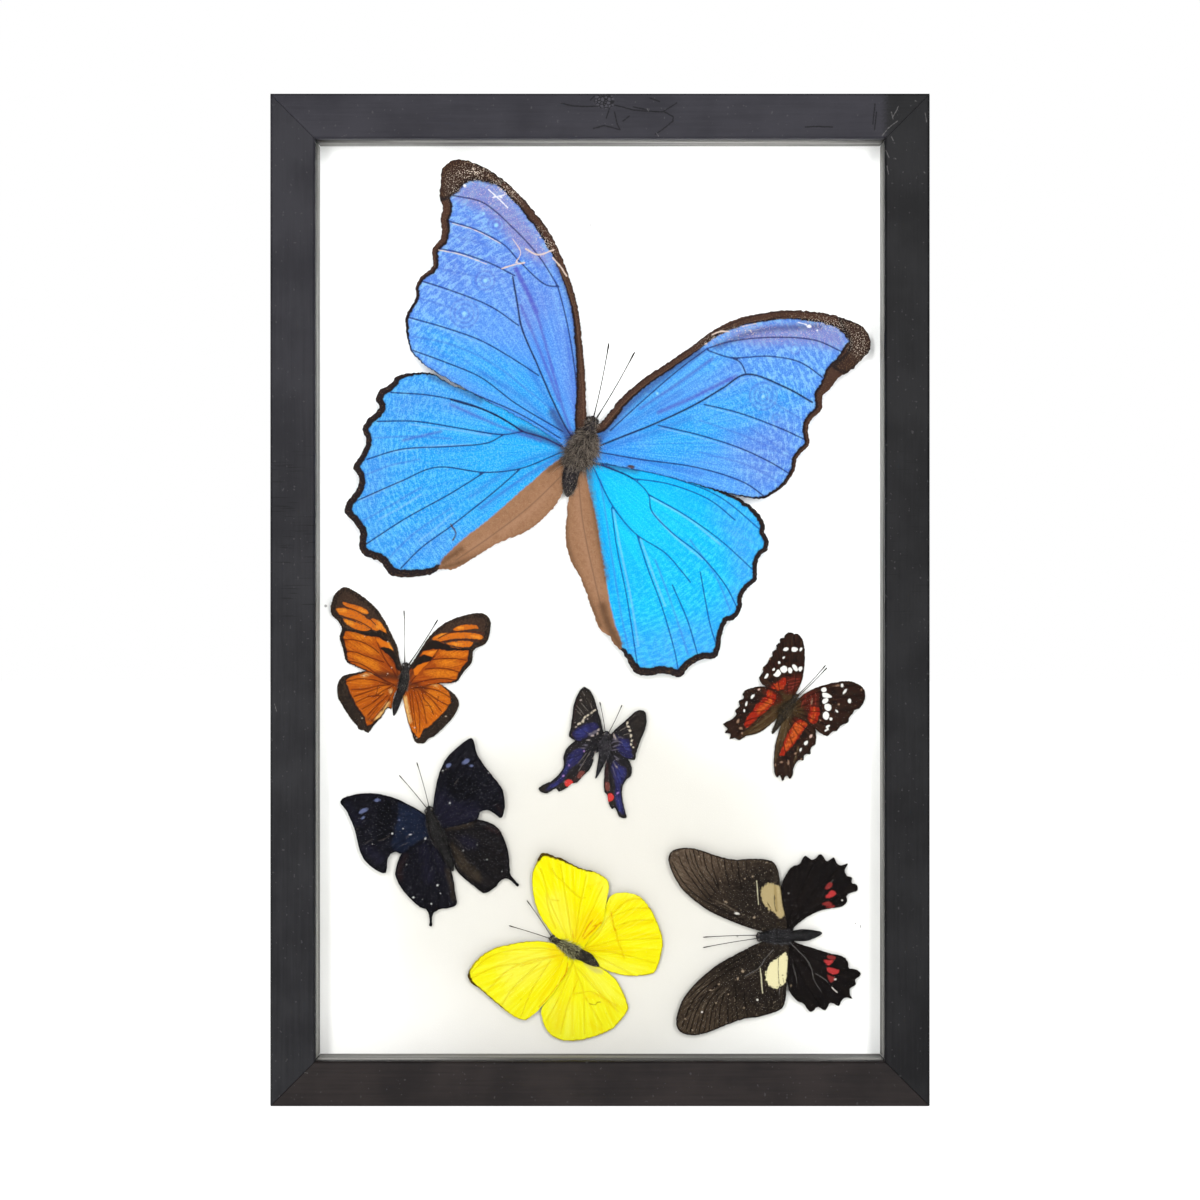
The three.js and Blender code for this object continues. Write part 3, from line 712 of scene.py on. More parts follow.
def wingNet(species, wing):
    # triangles that fill the outline, with points along thin marks and round small ones
    cell = species['cell']
    edge = smoothLine(wing['outline'], cell * 0.6, True)
    chance = np.random.default_rng(len(edge))
    edge = raggedEdge(edge, chance, species['ragged'])
    low, high = edge.min(0), edge.max(0)
    us, vs = np.arange(low[0], high[0], cell), np.arange(low[1], high[1], cell * wingMesh['rowHeight'])
    grid = np.stack(np.meshgrid(us, vs), -1)
    grid[1::2, :, 0] += cell / 2
    grid = grid.reshape(-1, 2) + chance.uniform(-0.12, 0.12, (len(us) * len(vs), 2)) * cell
    extra = []
    for shapes in wing['marks'].values():
        for shape in shapes:
            if shape[0] == 'line' and shape[1] < 3:
                extra.append(smoothLine(shape[2], cell * 0.6, False))
            elif shape[0] in ('spot', 'ring') and shape[2] < 20:
                turn = np.linspace(0, 2 * math.pi, 9)[:-1]
                centre = np.array(shape[1])
                for size in (0.0, 0.5, 1.0):
                    extra.append(centre + np.stack([np.cos(turn), np.sin(turn)], 1) * size * shape[2] / 2
                                 + chance.uniform(-0.02, 0.02, (8, 2)))
    extra = np.concatenate(extra) if extra else np.zeros((0, 2))
    if len(extra):
        extra = extra[inside(extra, edge)]
        extra = extra[nearest(extra, edge, True)[0] > cell * 0.35]
        keep = np.ones(len(extra), bool)  # drops doubles
        seen = set()
        for i, q in enumerate(np.round(extra / (cell * 0.45)).astype(int)):
            keep[i] = tuple(q) not in seen
            seen.add(tuple(q))
        extra = extra[keep]
        taken = {tuple(q) for q in np.floor(extra / (cell * 0.8)).astype(int)}
        free = [tuple(q) not in taken for q in np.floor(grid / (cell * 0.8)).astype(int)]
        grid = grid[np.array(free)]
    grid = grid[inside(grid, edge)]
    grid = grid[nearest(grid, edge, True)[0] > cell * wingMesh['closest']]
    points = np.concatenate([edge, extra, grid])
    count = len(edge)
    fringe = [(i, (i + 1) % count) for i in range(count)]
    made = delaunay_2d_cdt([Vector(p) for p in points], fringe, [], 1, 1e-6)
    points = np.array([tuple(p) for p in made[0]])
    faces = [f for f in made[2] if len(f) == 3]
    centres = points[np.array(faces)].mean(1)
    faces = [f for f, keep in zip(faces, inside(centres, edge)) if keep]
    return edge, points, faces


def wingValues(wing, edge, points):
    # what the finish reads on the points: their place in the wing's fan and their distance from each mark
    values = {}
    root = np.array(wing['root'], float)
    q = points - root
    middle = edge.mean(0) - root
    size = np.linalg.norm(q, axis=1)
    turn = np.arctan2(q[:, 1], q[:, 0]) - math.atan2(middle[1], middle[0])
    values['fan'] = (turn + math.pi) % (2 * math.pi) - math.pi
    values['reach'] = size / np.linalg.norm(edge - root, axis=1).max()
    distance, along = nearest(points, edge, True)
    anchors = np.reshape(wing['border'], (-1, 3)).astype(float)
    ends = nearest(anchors[:, :2], edge, True)[1]
    order = np.argsort(ends)
    values['border'] = distance - np.interp(along, ends[order], anchors[order, 2], period=len(edge))
    for mark, shapes in wing['marks'].items():
        values[mark] = np.min([shapeDistance(points, shape) for shape in shapes], 0)
    return values


def makeWing(species, part, drop, finish):
    edge, points, faces = wingNet(species, species[part])
    values = wingValues(species[part], edge, points)
    vein = values.get('vein', np.full(len(points), float(wingMesh['furthest'])))
    height = wingHeight(species, points) - drop
    height += wingMesh['veinHeight'] * np.exp(-(np.maximum(vein, 0) / wingMesh['veinWidth']) ** 2)
    waves = np.sin(values['fan'] * species['pleats']) * np.clip(values['reach'] * 1.5, 0, 1)
    height += species['pleatHeight'] * mm * waves
    x, z = onSheet(points[:, 0], points[:, 1])
    verts = np.stack([x, sheet['boardFront'] - height, z], 1)

    name = species['name'] + ''.join(word.capitalize() for word in part.split('_'))
    mesh = bpy.data.meshes.new(name)
    mesh.from_pydata([tuple(v) for v in verts], [], faces)
    for key, value in values.items():
        layer = mesh.attributes.new(key, 'FLOAT', 'POINT')
        kept = np.clip(value, -wingMesh['furthest'], wingMesh['furthest'])
        layer.data.foreach_set('value', kept.astype(np.float32))
    piece = bpy.data.objects.new(name, mesh)
    bpy.context.scene.collection.objects.link(piece)
    turnOutward(piece)
    mesh.update()
    if sum(p.normal.y for p in mesh.polygons) > 0:
        mesh.flip_normals()
    shell = piece.modifiers.new('thickness', 'SOLIDIFY')
    shell.thickness = species['thickness'] * mm
    shell.offset = 0
    bpy.ops.object.modifier_apply(modifier=shell.name)
    bpy.ops.object.shade_smooth_by_angle(angle=math.radians(50))
    finishPiece(piece, finish, species['slot'], species['name'] + '_' + part)
    return len(faces) * 2


def wingFinish(species, part):
    # ground colour from root to tip, streaks that fan out, then each mark in turn
    wing = species[part]
    look = {**species['look'], **wing.get('look', {})}
    finish = Finish(species['name'] + ' ' + part.replace('_', ' '))
    place = finish.place()
    fan, reach = finish.mark('fan'), finish.mark('reach')

    def fanned(across, along):
        where = finish.add('CombineXYZ', None, {0: fan * across, 1: reach * along, 2: 0.0})
        return finish.noise(where, 1.0, 3.0, 0.6)

    textures = {
        'streaks': fanned(look['streakAcross'], look['streakAlong']),
        'grain': finish.noise(place, look.get('grainScale', 2400.0), 2.0, 0.7),
        'clouds': finish.noise(place, 130.0, 3.0),
        'flecks': finish.noise(place, 1500.0, 1.0),
    }
    if 'rippleAcross' in look:
        textures['ripples'] = fanned(look['rippleAcross'], look['rippleAlong'])
    ragged = finish.noise(place, look.get('raggedScale', 900.0), 4.0, 0.65)
    inner, outer = look['ground']
    colour = finish.mix(finish.between(reach, *look['groundFrom']), paint(*inner), paint(*outer))
    for mark, tone, soft, rough, strength, *inset in look['layers']:
        name = mark.rstrip('*~')
        tone = look.get('tones', {}).get(mark, tone)
        if mark == 'flecks':
            mask = finish.between(textures['flecks'], 0.66, 0.66 + soft)
        elif mark in textures:
            mask = finish.between(textures[mark], 0.45, 0.45 + soft)
        elif mark.startswith('pale') and mark[4:].lower() in textures:
            mask = finish.between(textures[mark[4:].lower()], 0.5, 0.5 - soft)
        elif name == 'border' or name in wing['marks']:
            edge = inset[0] if inset else 0.0
            mask = finish.between(finish.mark(name) + (ragged - 0.5) * (rough * 2), soft - edge, -soft - edge)
            if mark.endswith('*'):  # shows in specks only
                mask = mask * finish.between(textures['grain'], *look.get('speckle', (0.5, 0.58)))
            if mark.endswith('~'):  # in blotches
                mask = mask * finish.between(ragged, 0.44, 0.6)
        else:
            continue
        if mark in ('ripples', 'paleRipples'):  # only the outer part of a wing is rippled
            mask = mask * finish.between(reach, 0.3, 0.75)
        colour = finish.mix(mask * strength, colour, paint(*tone))
    relief = textures['streaks'] * look.get('streakRelief', 0.25) + textures['grain'] * 0.15
    if 'vein' in wing['marks']:
        relief = relief + finish.between(finish.mark('vein'), 0.9, -0.3) * 0.7
    return finish.surface({
        'Base Color': colour,
        'Roughness': look['roughness'] + textures['grain'] * 0.15,
        'Specular IOR Level': look['gloss'],
        'Normal': finish.bump(relief, look.get('relief', 0.00012), 0.8),
    })


def bodyFinish(species, name, dark, light, ringed):
    finish = Finish(species['name'] + ' ' + name)
    place = finish.place()
    patch = finish.noise(place, 900.0, 3.0)
    colour = finish.mix(finish.between(patch, 0.35, 0.65), paint(*dark), paint(*light))
    height = patch
    if ringed:
        rings = finish.mark('rings')
        colour = finish.mix(rings * 0.5, colour, paint(*[c * 0.55 for c in dark]))
        height = patch * 0.4 + (1 - rings)
    return finish.surface({
        'Base Color': colour,
        'Roughness': 0.5 + patch * 0.3,
        'Specular IOR Level': 0.1,
        'Normal': finish.bump(height, 0.0001, 0.7),
    })


def furFinish(species, dark, light):
    finish = Finish(species['name'] + ' fur')
    shade = finish.mark('shade')
    patch = finish.noise(finish.place(), 1200.0)
    colour = finish.mix(finish.between(shade + (patch - 0.5) * 0.4, 0.25, 0.95), paint(*dark), paint(*light))
    return finish.surface({'Base Color': colour, 'Roughness': 0.6, 'Specular IOR Level': 0.1})


def placed(species, u, v, lift=0.0):
    x, z = onSheet(u, v)
    return Vector((x, sheet['boardFront'] - species['height'] * mm - lift, z))


trunkLook = {'sides': 20, 'flatness': 0.8, 'rings': 7}


def makeTrunk(species):
    # a disc is extruded from the head to the tail and widened at each station
    spine = species['spine']
    axis = bodyAxis(species)[1]
    turn = math.atan2(axis[0], -axis[1])
    step = sheet['step']
    start = placed(species, *spine[0][:2])
    bpy.ops.object.select_all(action='DESELECT')
    bpy.ops.mesh.primitive_circle_add(
        vertices=trunkLook['sides'], radius=spine[0][2] * step, fill_type='NGON', location=start,
        rotation=(0, turn, 0))
    trunk = bpy.context.object
    trunk.name = species['name'] + 'Body'
    bpy.ops.object.mode_set(mode='EDIT')
    bpy.ops.mesh.select_all(action='SELECT')
    for before, here in zip(spine, spine[1:]):
        was, now = placed(species, *before[:2]), placed(species, *here[:2])
        bpy.ops.mesh.extrude_region_move(TRANSFORM_OT_translate={'value': now - was})
        grow = here[2] / before[2]
        bpy.ops.transform.resize(value=(grow, grow, grow), center_override=now)
    bpy.ops.mesh.select_all(action='SELECT')
    bpy.ops.transform.resize(value=(1, trunkLook['flatness'], 1), center_override=start)
    bpy.ops.mesh.normals_make_consistent(inside=False)
    bpy.ops.object.mode_set(mode='OBJECT')
    bpy.ops.object.transform_apply(location=True, rotation=True, scale=True)
    smooth = trunk.modifiers.new('round', 'SUBSURF')
    smooth.levels = smooth.render_levels = 2
    bpy.ops.object.modifier_apply(modifier=smooth.name)
    bpy.ops.object.shade_smooth()

    # rings of the abdomen
    waist = species['waist']
    origin = np.array(spine[0][:2])
    total = (np.array(spine[-1][:2]) - origin) @ axis
    layer = trunk.data.attributes.new('rings', 'FLOAT', 'POINT')
    for i, vertex in enumerate(trunk.data.vertices):
        uv = np.array([vertex.co.x / step + sheet['centre'][0], sheet['centre'][1] - vertex.co.z / step])
        along = ((uv - origin) @ axis) / total
        if along > waist:
            wave = 0.5 - 0.5 * math.cos((along - waist) / (1 - waist) * trunkLook['rings'] * 2 * math.pi)
            layer.data[i].value = (1 - wave) ** 3
    return trunk


def makeAntenna(species, start, tip, number):
    name = species['name'] + 'Antenna' + str(number)
    data = bpy.data.curves.new(name, 'CURVE')
    data.dimensions = '3D'
    data.bevel_depth = 1.0
    data.bevel_resolution = 2
    data.use_fill_caps = True
    spline = data.splines.new('POLY')
    bends = [0, 0.15, 0.3, 0.45, 0.6, 0.72, 0.84, 0.9, 0.94, 0.97, 0.99, 1.0]
    widths = [1.3, 0.9, 0.8, 0.8, 0.8, 0.8, 0.9, 1.15, 1.4, 1.35, 1.0, 0.4]
    spline.points.add(len(bends) - 1)
    a, b = np.array(start, float), np.array(tip, float)
    side = np.array([-(b - a)[1], (b - a)[0]])
    for i, (t, wide) in enumerate(zip(bends, widths)):
        at = a + (b - a) * t + side * 0.012 * math.sin(math.pi * t)
        point = placed(species, *at, 0.0005 * math.sin(math.pi * t))
        spline.points[i].co = (*point, 1)
        spline.points[i].radius = wide * species['antennaRadius'] * mm
    piece = bpy.data.objects.new(name, data)
    bpy.context.scene.collection.objects.link(piece)
    pickOnly(piece)
    bpy.ops.object.convert(target='MESH')
    bpy.ops.object.shade_smooth()
    return piece


def makeEye(species, side):
    u, v, half = species['spine'][1]
    axis = bodyAxis(species)[1]
    across = np.array([-axis[1], axis[0]]) * side
    at = np.array([u, v]) + across * half * 0.62
    size = half * 0.5 * sheet['step']
    bpy.ops.object.select_all(action='DESELECT')
    bpy.ops.mesh.primitive_uv_sphere_add(
        segments=16, ring_count=10, radius=size, location=placed(species, *at, half * sheet['step'] * 0.25))
    eye = bpy.context.object
    bpy.ops.object.mode_set(mode='EDIT')
    bpy.ops.mesh.select_all(action='SELECT')
    bpy.ops.transform.resize(value=(1, 1.1, 1.15))
    bpy.ops.object.mode_set(mode='OBJECT')
    bpy.ops.object.transform_apply(location=True, rotation=True, scale=True)
    bpy.ops.object.shade_smooth()
    return eye


def makeFur(species, name, zones, finish):
    # each hair is a thin closed blade of two lengths that bends backwards
    step = sheet['step']
    spine = np.array(species['spine'], float)
    axis = bodyAxis(species)[1]
    marks = np.cumsum([0] + list(np.linalg.norm(np.diff(spine[:, :2], axis=0), axis=1)))
    marks = marks / marks[-1]
    chance = np.random.default_rng(len(species['name']) * 13)
    verts, faces, shades = [], [], []
    underGlass, overBoard = sheet['glassBack'] + 0.3 * mm, sheet['boardFront'] - 0.2 * mm
    middle = sheet['boardFront'] - species['height'] * mm
    flat = trunkLook['flatness']
    for start, stop, count, length, spread in zones:
        for i in range(count):
            t = chance.uniform(start, stop)
            u, v, half = (np.interp(t, marks, spine[:, k]) for k in range(3))
            turn = chance.uniform(-0.25, math.pi + 0.25)
            out = np.array([-axis[1], axis[0]]) * math.cos(turn)
            lift = math.sin(turn)
            x, z = onSheet(u + out[0] * half * 0.95, v + out[1] * half * 0.95)
            root = np.array([x, middle - lift * half * flat * 0.95 * step, z])
            away = np.array([out[0], -lift, -out[1]])
            back = np.array([axis[0], 0, -axis[1]])
            aim = away * spread + back * chance.uniform(-0.1, 1.0) + chance.normal(0, 0.45, 3)
            aim /= np.linalg.norm(aim)
            size = length * mm * (0.4 + chance.uniform() ** 2)
            droop = back * size * 0.25 + np.array([0, 0.12 * size, 0])
            bend, tip = root + aim * size * 0.55, root + aim * size + droop
            for end in (bend, tip):
                end[1] = min(max(end[1], underGlass), overBoard)
            side = np.cross(aim, [0.3, 0.8, 0.5])
            side /= np.linalg.norm(side)
            other = np.cross(aim, side)
            wide = species['hairWidth'] * mm
            first = len(verts)
            for base, w in ((root, 1.0), (bend, 0.7)):
                for k in range(3):
                    a = 2 * math.pi * k / 3
                    verts.append(tuple(base + (side * math.cos(a) + other * math.sin(a)) * wide * w / 2))
            verts.append(tuple(tip))
            for k in range(3):
                m = (k + 1) % 3
                faces.append((first + k, first + m, first + 3 + m, first + 3 + k))
                faces.append((first + 3 + k, first + 3 + m, first + 6))
            faces.append((first + 2, first + 1, first))
            shades += [chance.uniform(0, 1)] * 7
    mesh = bpy.data.meshes.new(name)
    mesh.from_pydata(verts, [], faces)
    layer = mesh.attributes.new('shade', 'FLOAT', 'POINT')
    layer.data.foreach_set('value', np.array(shades, np.float32))
    piece = bpy.data.objects.new(name, mesh)
    bpy.context.scene.collection.objects.link(piece)
    turnOutward(piece)
    piece.data.materials.append(finish)
    return piece


def makeBody(species):
    tones = species['body']
    trunk = makeTrunk(species)
    trunk.data.materials.append(bodyFinish(species, 'body', *tones['trunk'], True))
    feeler = bodyFinish(species, 'feelers', *tones['antennae'], False)
    shine = Finish(species['name'] + ' eyes')
    facets = shine.noise(shine.place(), 6000.0)
    shine.surface({'Base Color': shine.mix(facets, paint(24, 20, 18), paint(52, 44, 40)), 'Roughness': 0.2})
    parts = []
    for number, (start, tip) in enumerate(species['antennae']):
        antenna = makeAntenna(species, start, tip, number)
        antenna.data.materials.append(feeler)
        parts.append(antenna)
    for side in (-1, 1):
        eye = makeEye(species, side)
        eye.data.materials.append(shine.material)
        parts.append(eye)
    parts.append(makeFur(species, species['name'] + 'Fur', species['fur'], furFinish(species, *tones['fur'])))
    pickOnly(trunk, *parts)
    bpy.ops.object.join()
    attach(trunk, 'root')
    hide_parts(species['name'] + '_body')


def makeSpecimen(species):
    total = 0
    for pair, drop in (('forewing', 0), ('hindwing', 0.75 * mm)):
        for side in ('_left', '_right'):
            total += makeWing(species, pair + side, drop, wingFinish(species, pair + side))
    makeBody(species)
    print(species['name'], 'is mounted,', total, 'wing faces')


# outlines, veins and spots are u,v pairs in steps of the sheet, borders u,v,width; colours are as they look
# on the board; a layer is (mark, colour, softness, raggedness, strength, inset), laid on in this order;
# a mark ending in * shows in specks and one ending in ~ in blotches; heights and widths are in millimetres

morpho = {
    'name': 'morpho', 'slot': 'iridescent_blue_wing', 'height': 3.75, 'tipRise': 1.6, 'span': 85,
    'thickness': 0.16, 'cell': 1.75, 'ragged': 0.45, 'pleats': 26, 'pleatHeight': 0.05,
    'spine': [(593, 415, 2), (592, 420, 6), (590, 426, 5.5), (587, 434, 10), (583, 446, 14),
        (578, 458, 12), (573, 466, 8), (570, 473, 8.3), (568.5, 484, 8), (567, 492, 5), (566.5, 497, 1)],
    'antennae': [[(592, 421), (608.5, 342)], [(594, 421), (634.5, 351)]],
    'antennaRadius': 0.2, 'waist': 0.62,
    'fur': [(0.02, 0.22, 420, 1.7, 1.0), (0.2, 0.64, 3000, 2.6, 1.0), (0.24, 0.62, 520, 4.6, 1.0),
        (0.62, 0.98, 360, 0.9, 0.7)],
    'hairWidth': 0.09,
    'body': {
        'trunk': ((34, 31, 34), (58, 52, 54)), 'antennae': ((24, 20, 20), (48, 42, 40)),
        'fur': ((44, 37, 34), (190, 174, 158)),
    },
    'look': {
        'roughness': 0.42, 'gloss': 0.05, 'groundFrom': (0.1, 1.0), 'speckle': (0.56, 0.62),
        'streakAcross': 46, 'streakAlong': 3.0, 'rippleAcross': 22, 'rippleAlong': 84,
        'relief': 0.00016,
        'layers': [
            ('violet', (136, 146, 218), 20, 8, 0.6),
            ('cyan', (30, 184, 252), 16, 8, 0.85),
            ('clouds', (112, 178, 252), 0.2, 0, 0.25),
            ('streaks', (50, 118, 230), 0.18, 0, 0.38),
            ('paleStreaks', (126, 200, 255), 0.18, 0, 0.34),
            ('ripples', (52, 112, 228), 0.1, 0, 0.55),
            ('paleRipples', (158, 216, 255), 0.1, 0, 0.5),
            ('grain', (56, 114, 222), 0.12, 0, 0.34),
            ('paleGrain', (150, 210, 255), 0.12, 0, 0.3),
            ('veil', (138, 126, 184), 9, 3, 0.6),
            ('veil*', (214, 200, 216), 6, 4, 0.7),
            ('shadow', (50, 76, 196), 4, 2, 0.42),
            ('purple', (84, 62, 178), 2.2, 0.8, 0.66),
            # painted shade: darker lines in the creases between the veins
            ('fold', (70, 104, 206), 1.6, 0.5, 0.6),
            # painted highlight: pale lines on the lit side of the veins and creases
            ('light', (164, 216, 255), 1.2, 0.6, 0.36),
            ('vein', (26, 34, 96), 0.7, 0.3, 0.92),
            ('bold', (26, 20, 62), 1.0, 0.4, 1.0),
            ('eyeDark', (92, 104, 200), 1.6, 0.5, 0.6),
            ('eyeLight', (138, 196, 255), 1.2, 0.5, 0.5),
            ('eyeDot', (166, 226, 255), 1.2, 0.5, 0.85),
            # next: a darker band along the costa and by the body, and painted shade on the hindwings along
            # the edges of the forewings that lie over them
            ('dusk', (52, 38, 96), 4.0, 1.2, 0.65),
            ('border', (60, 48, 110), 2.4, 1.2, 0.5),
            ('border', (26, 17, 18), 0.7, 1.6, 1.0),
            ('border', (84, 54, 40), 1.2, 1.6, 0.7, 2.4),
            ('border*', (142, 108, 78), 1.2, 1.4, 0.36, 2.6),
            ('apex', (29, 19, 18), 1.6, 2.4, 1.0),
            ('apex', (74, 48, 34), 2.5, 2.5, 0.5, 3.5),
            ('apex*', (158, 116, 78), 2.5, 2.5, 0.4, 2.5),
            ('costaDark', (34, 24, 24), 0.8, 0.5, 0.85),
            ('costaLight', (118, 84, 64), 0.5, 0.5, 0.5),
            ('tan', (164, 120, 88), 1.2, 1.4, 1.0),
            ('tan~', (128, 88, 58), 3, 3, 0.3, 1.0),
            ('tan*', (184, 146, 116), 3, 3, 0.4, 2.0),
            ('tanLight', (178, 134, 104), 5, 4, 0.7),
            ('tanDark', (98, 66, 42), 4, 4, 0.85),
            ('tanVein', (110, 82, 62), 1.0, 0.4, 0.7),
            ('hole', (82, 56, 40), 0.8, 0.8, 0.95),
            # cream: pale creases in the scales, and painted glints on the lit side of two veins of the left
            # forewing
            ('cream', (236, 212, 196), 0.5, 0.9, 0.9),
            ('white', (250, 250, 255), 0.6, 0.6, 1.0),
            ('dust*', (244, 226, 206), 6, 2, 0.9),
        ],
    },
    'forewing_left': {
        'outline': [588,432, 586,413, 585,383, 582,345, 577,306, 567,272, 552,237, 528,204, 500,177,
            476,163, 457,159, 448,162, 441,169, 440.5,180, 439,196, 442,207, 440,216, 441,232, 439,239,
            431.5,250, 432,265, 421,276, 415,286, 415,297, 406.5,313, 404.5,320, 406,333, 407,341,
            412,353, 427,367, 449,380, 481,398, 520,418, 556,440, 570,452, 584,450],
        'root': (586, 446),
        'border': [588,432,14, 585,400,10, 582,350,7.5, 577,306,6.5, 560,255,7.5, 552,237,9.5, 528,204,9,
            500,177,8, 476,163,12, 457,159,16, 446,166,18, 441,180,14, 439,200,10, 441,222,8.5, 432,252,6,
            418,280,4, 412,300,3, 405,325,3, 409,346,1.4, 427,367,0.6, 481,398,0.3, 556,440,0, 580,452,0],
        'look': {'ground': ((66, 152, 246), (146, 194, 254))},
        'marks': {
            'violet': [area(470,190, 520,205, 548,250, 560,300, 530,330, 490,290, 450,250, 455,210),
                area(440,235, 470,245, 468,290, 430,285, 436,255), line(14, 556,300, 566,350, 574,410)],
            'cyan': [area(420,320, 470,340, 540,380, 570,430, 520,410, 440,365, 415,340)],
            'veil': [area(455,195, 470,181, 500,185, 515,205, 540,240, 548,262, 520,250, 490,215)],
            'apex': [area(440,160, 457,155, 478,160, 503,176, 500,184, 470,181, 452,196, 438,200)],
            'purple': lines(4.5, [515,268, 527,292, 536,312]) + lines(2.4, [536,312, 548,355, 563,410,
                572,435], [520,305, 540,352, 558,400]),
            'shadow': lines(4, [530,370, 555,415, 570,440], [480,372, 520,396, 552,428], [566,330,
                572,380, 577,425]),
            'costaDark': lines(1.2, [586,425, 585.5,385, 582.5,345, 577,306, 567,272, 552,238, 527,204,
                500,178, 476,164.5]),
            'costaLight': lines(0.9, [583.5,425, 582,385, 579,346, 573.5,308, 562,272,
                548,241]) + lines(0.8, [556,262, 566,285, 572,304], [520,203, 505,188, 488,175]),
            'dust': [spot(470,172, 34, 16, -10), spot(452,185, 12, 22), spot(505,190, 30, 12, 40),
                spot(545,240, 22, 10, 55)],
            'vein': lines(1.25, [452,195, 480,201, 495,211, 511,226, 525,240, 540,258, 557,285], [446,220,
                475,229, 503,244, 520,262, 545,284, 558,286], [432,247, 460,252.5, 490,263, 514,275],
                [419,280, 450,290, 490,306, 518,325], [404,316, 440,326, 480,340, 515,360, 538,375],
                [409,349, 445,362, 480,377, 515,403, 562,431], [557,285, 566,320, 573,360, 578,405],
                [430,372, 475,394, 520,414, 560,438]),
            'bold': lines(1.7, [512,276, 517,305, 521,327, 537,365, 553,402, 567,430, 576,442]),
            'fold': lines(1.2, [448,235, 475,241, 487,245], [429,266, 485,278], [417,297, 455,309],
                [412,336, 450,344, 490,362, 520,384, 550,408]),
            # painted highlights along the lit side of the veins
            'light': lines(1.0, [434,249.5, 460,255, 488,265], [421,282.5, 450,292.5, 486,308],
                [447,222.5, 475,231.5, 500,245], [406,318.5, 440,328.5, 478,342]),
            'eyeDark': [ring(495.5,224.5, 8), ring(495.5,224.5, 16), ring(484.5,280, 10),
                ring(484.5,280, 19), ring(463.5,313, 10), ring(463.5,313, 19), ring(463.5,313, 28)],
            'eyeLight': [ring(495.5,224.5, 12), ring(484.5,280, 14.5), ring(463.5,313, 14.5),
                ring(463.5,313, 23.5)],
            'eyeDot': [spot(495.5,224.5, 4), spot(484.5,280, 4), spot(463.5,313, 4), spot(483,213, 2.5)],
            'dusk': [line(5, 556,262, 570,300, 577,345, 581,400), line(8, 552,412, 568,436, 582,446)],
            # the last two cream lines are painted glints on the lit side of two veins
            'cream': [line(1.6, 525,248, 537,254, 553,249), line(1.4, 501,268, 514,264, 524,262),
                line(1.6, 552,257, 560,266, 566,275), line(0.8, 512,238, 520,252, 515,262), line(0.6,
                452,223, 475,230, 500,243), line(0.8, 438,249.5, 460,254, 486,263.5)],
            'white': [line(1.0, 488,189, 498,198, 507,207), spot(500,196, 4, 2, 40), spot(464,185, 3),
                line(0.8, 492,197, 504,194)],
        },
    },
    'forewing_right': {
        'outline': [590,428, 600,422, 622,396, 646,376, 669,361, 692,345, 710,331.5, 730,321, 750,315,
            783,310, 820,312, 850,320, 864,328, 870.5,341, 869,351, 861,360, 848,372, 839,377, 830,389,
            823,395, 821,409, 811,420, 808,427, 808.5,445, 797,457.5, 794,471, 785,484, 775,492.5,
            762,498.5, 744,497, 705,486.5, 649,472, 610,464, 588,458],
        'root': (592, 446),
        'border': [590,428,9, 600,422,9, 622,396,8.5, 669,361,7.5, 710,331.5,7, 750,315,8.5, 800,311,9,
            840,316,11, 864,328,22, 870,341,26, 861,360,22, 843,374,17, 830,389,11, 822,402,7, 811,420,6,
            808.5,445,5, 794,471,4.2, 775,492.5,3, 744,497,1.4, 705,486.5,0.5, 649,472,0, 588,458,0],
        'look': {'ground': ((44, 166, 252), (122, 192, 254))},
        'marks': {
            'violet': [area(700,345, 760,325, 830,330, 842,350, 800,352, 740,352), area(735,440, 785,420,
                800,440, 790,475, 760,490, 740,470), line(12, 620,420, 680,385, 735,365)],
            'cyan': [area(640,435, 700,405, 760,385, 800,395, 760,420, 700,450, 650,460), area(612,430,
                640,400, 668,378, 700,360, 728,352, 720,368, 690,384, 655,408, 628,428)],
            'veil': [area(730,332, 790,325, 838,326, 845,345, 800,342, 750,342)],
            'apex': [area(838,316, 865,325, 874,342, 862,362, 846,374, 832,366, 843,355, 849,345,
                840,325)],
            'purple': lines(3.4, [658,412, 690,398, 735,376]) + lines(2.2, [640,408, 676,384, 712,358]),
            'shadow': lines(4, [604,448, 640,436, 690,418], [604,456, 650,462, 700,474], [600,440,
                640,416, 680,392]),
            'costaDark': lines(1.2, [601,423, 622,397.5, 646,377.5, 669,362.5, 692,346.5, 712,332.5,
                750,316.5, 783,311.5, 820,313.5, 850,321.5]),
            'costaLight': lines(0.9, [604,425, 625,401, 648,381.5, 671,366, 694,350.5,
                714,337]) + lines(0.8, [716,336, 740,324, 768,318], [776,318, 800,317, 826,320]),
            'dust': [spot(858,342, 16, 30, -10), spot(832,324, 40, 10, 10), spot(740,332, 60, 8, -14)],
            'vein': lines(1.25, [843,352, 815,340, 770,337, 730,341, 707,348], [826,380, 800,362, 770,356,
                730,357, 708,350], [730,357, 740,362, 746,374], [707,348, 680,368, 645,398, 610,430],
                [704,404, 740,413, 780,428, 806,440], [658,425, 700,435, 740,448, 770,462, 793,476],
                [600,452, 640,459, 700,468, 745,483, 765,497]),
            'bold': lines(1.8, [812,402, 785,387, 746,374, 722,388, 695,404, 655,423, 620,437, 600,445]),
            'fold': lines(1.2, [803,420, 763,396], [795,457, 750,428], [700,452, 750,466, 782,484],
                [700,420, 750,438, 798,462]),
            'light': lines(1.0, [706,406.5, 740,415.5, 778,430], [660,427.5, 700,437.5, 740,450.5],
                [785,389.5, 748,377, 724,391]),
            'eyeDark': [ring(795,349, 9), ring(763,396, 9), ring(763,396, 18), ring(763,396, 27),
                ring(776,418, 8)],
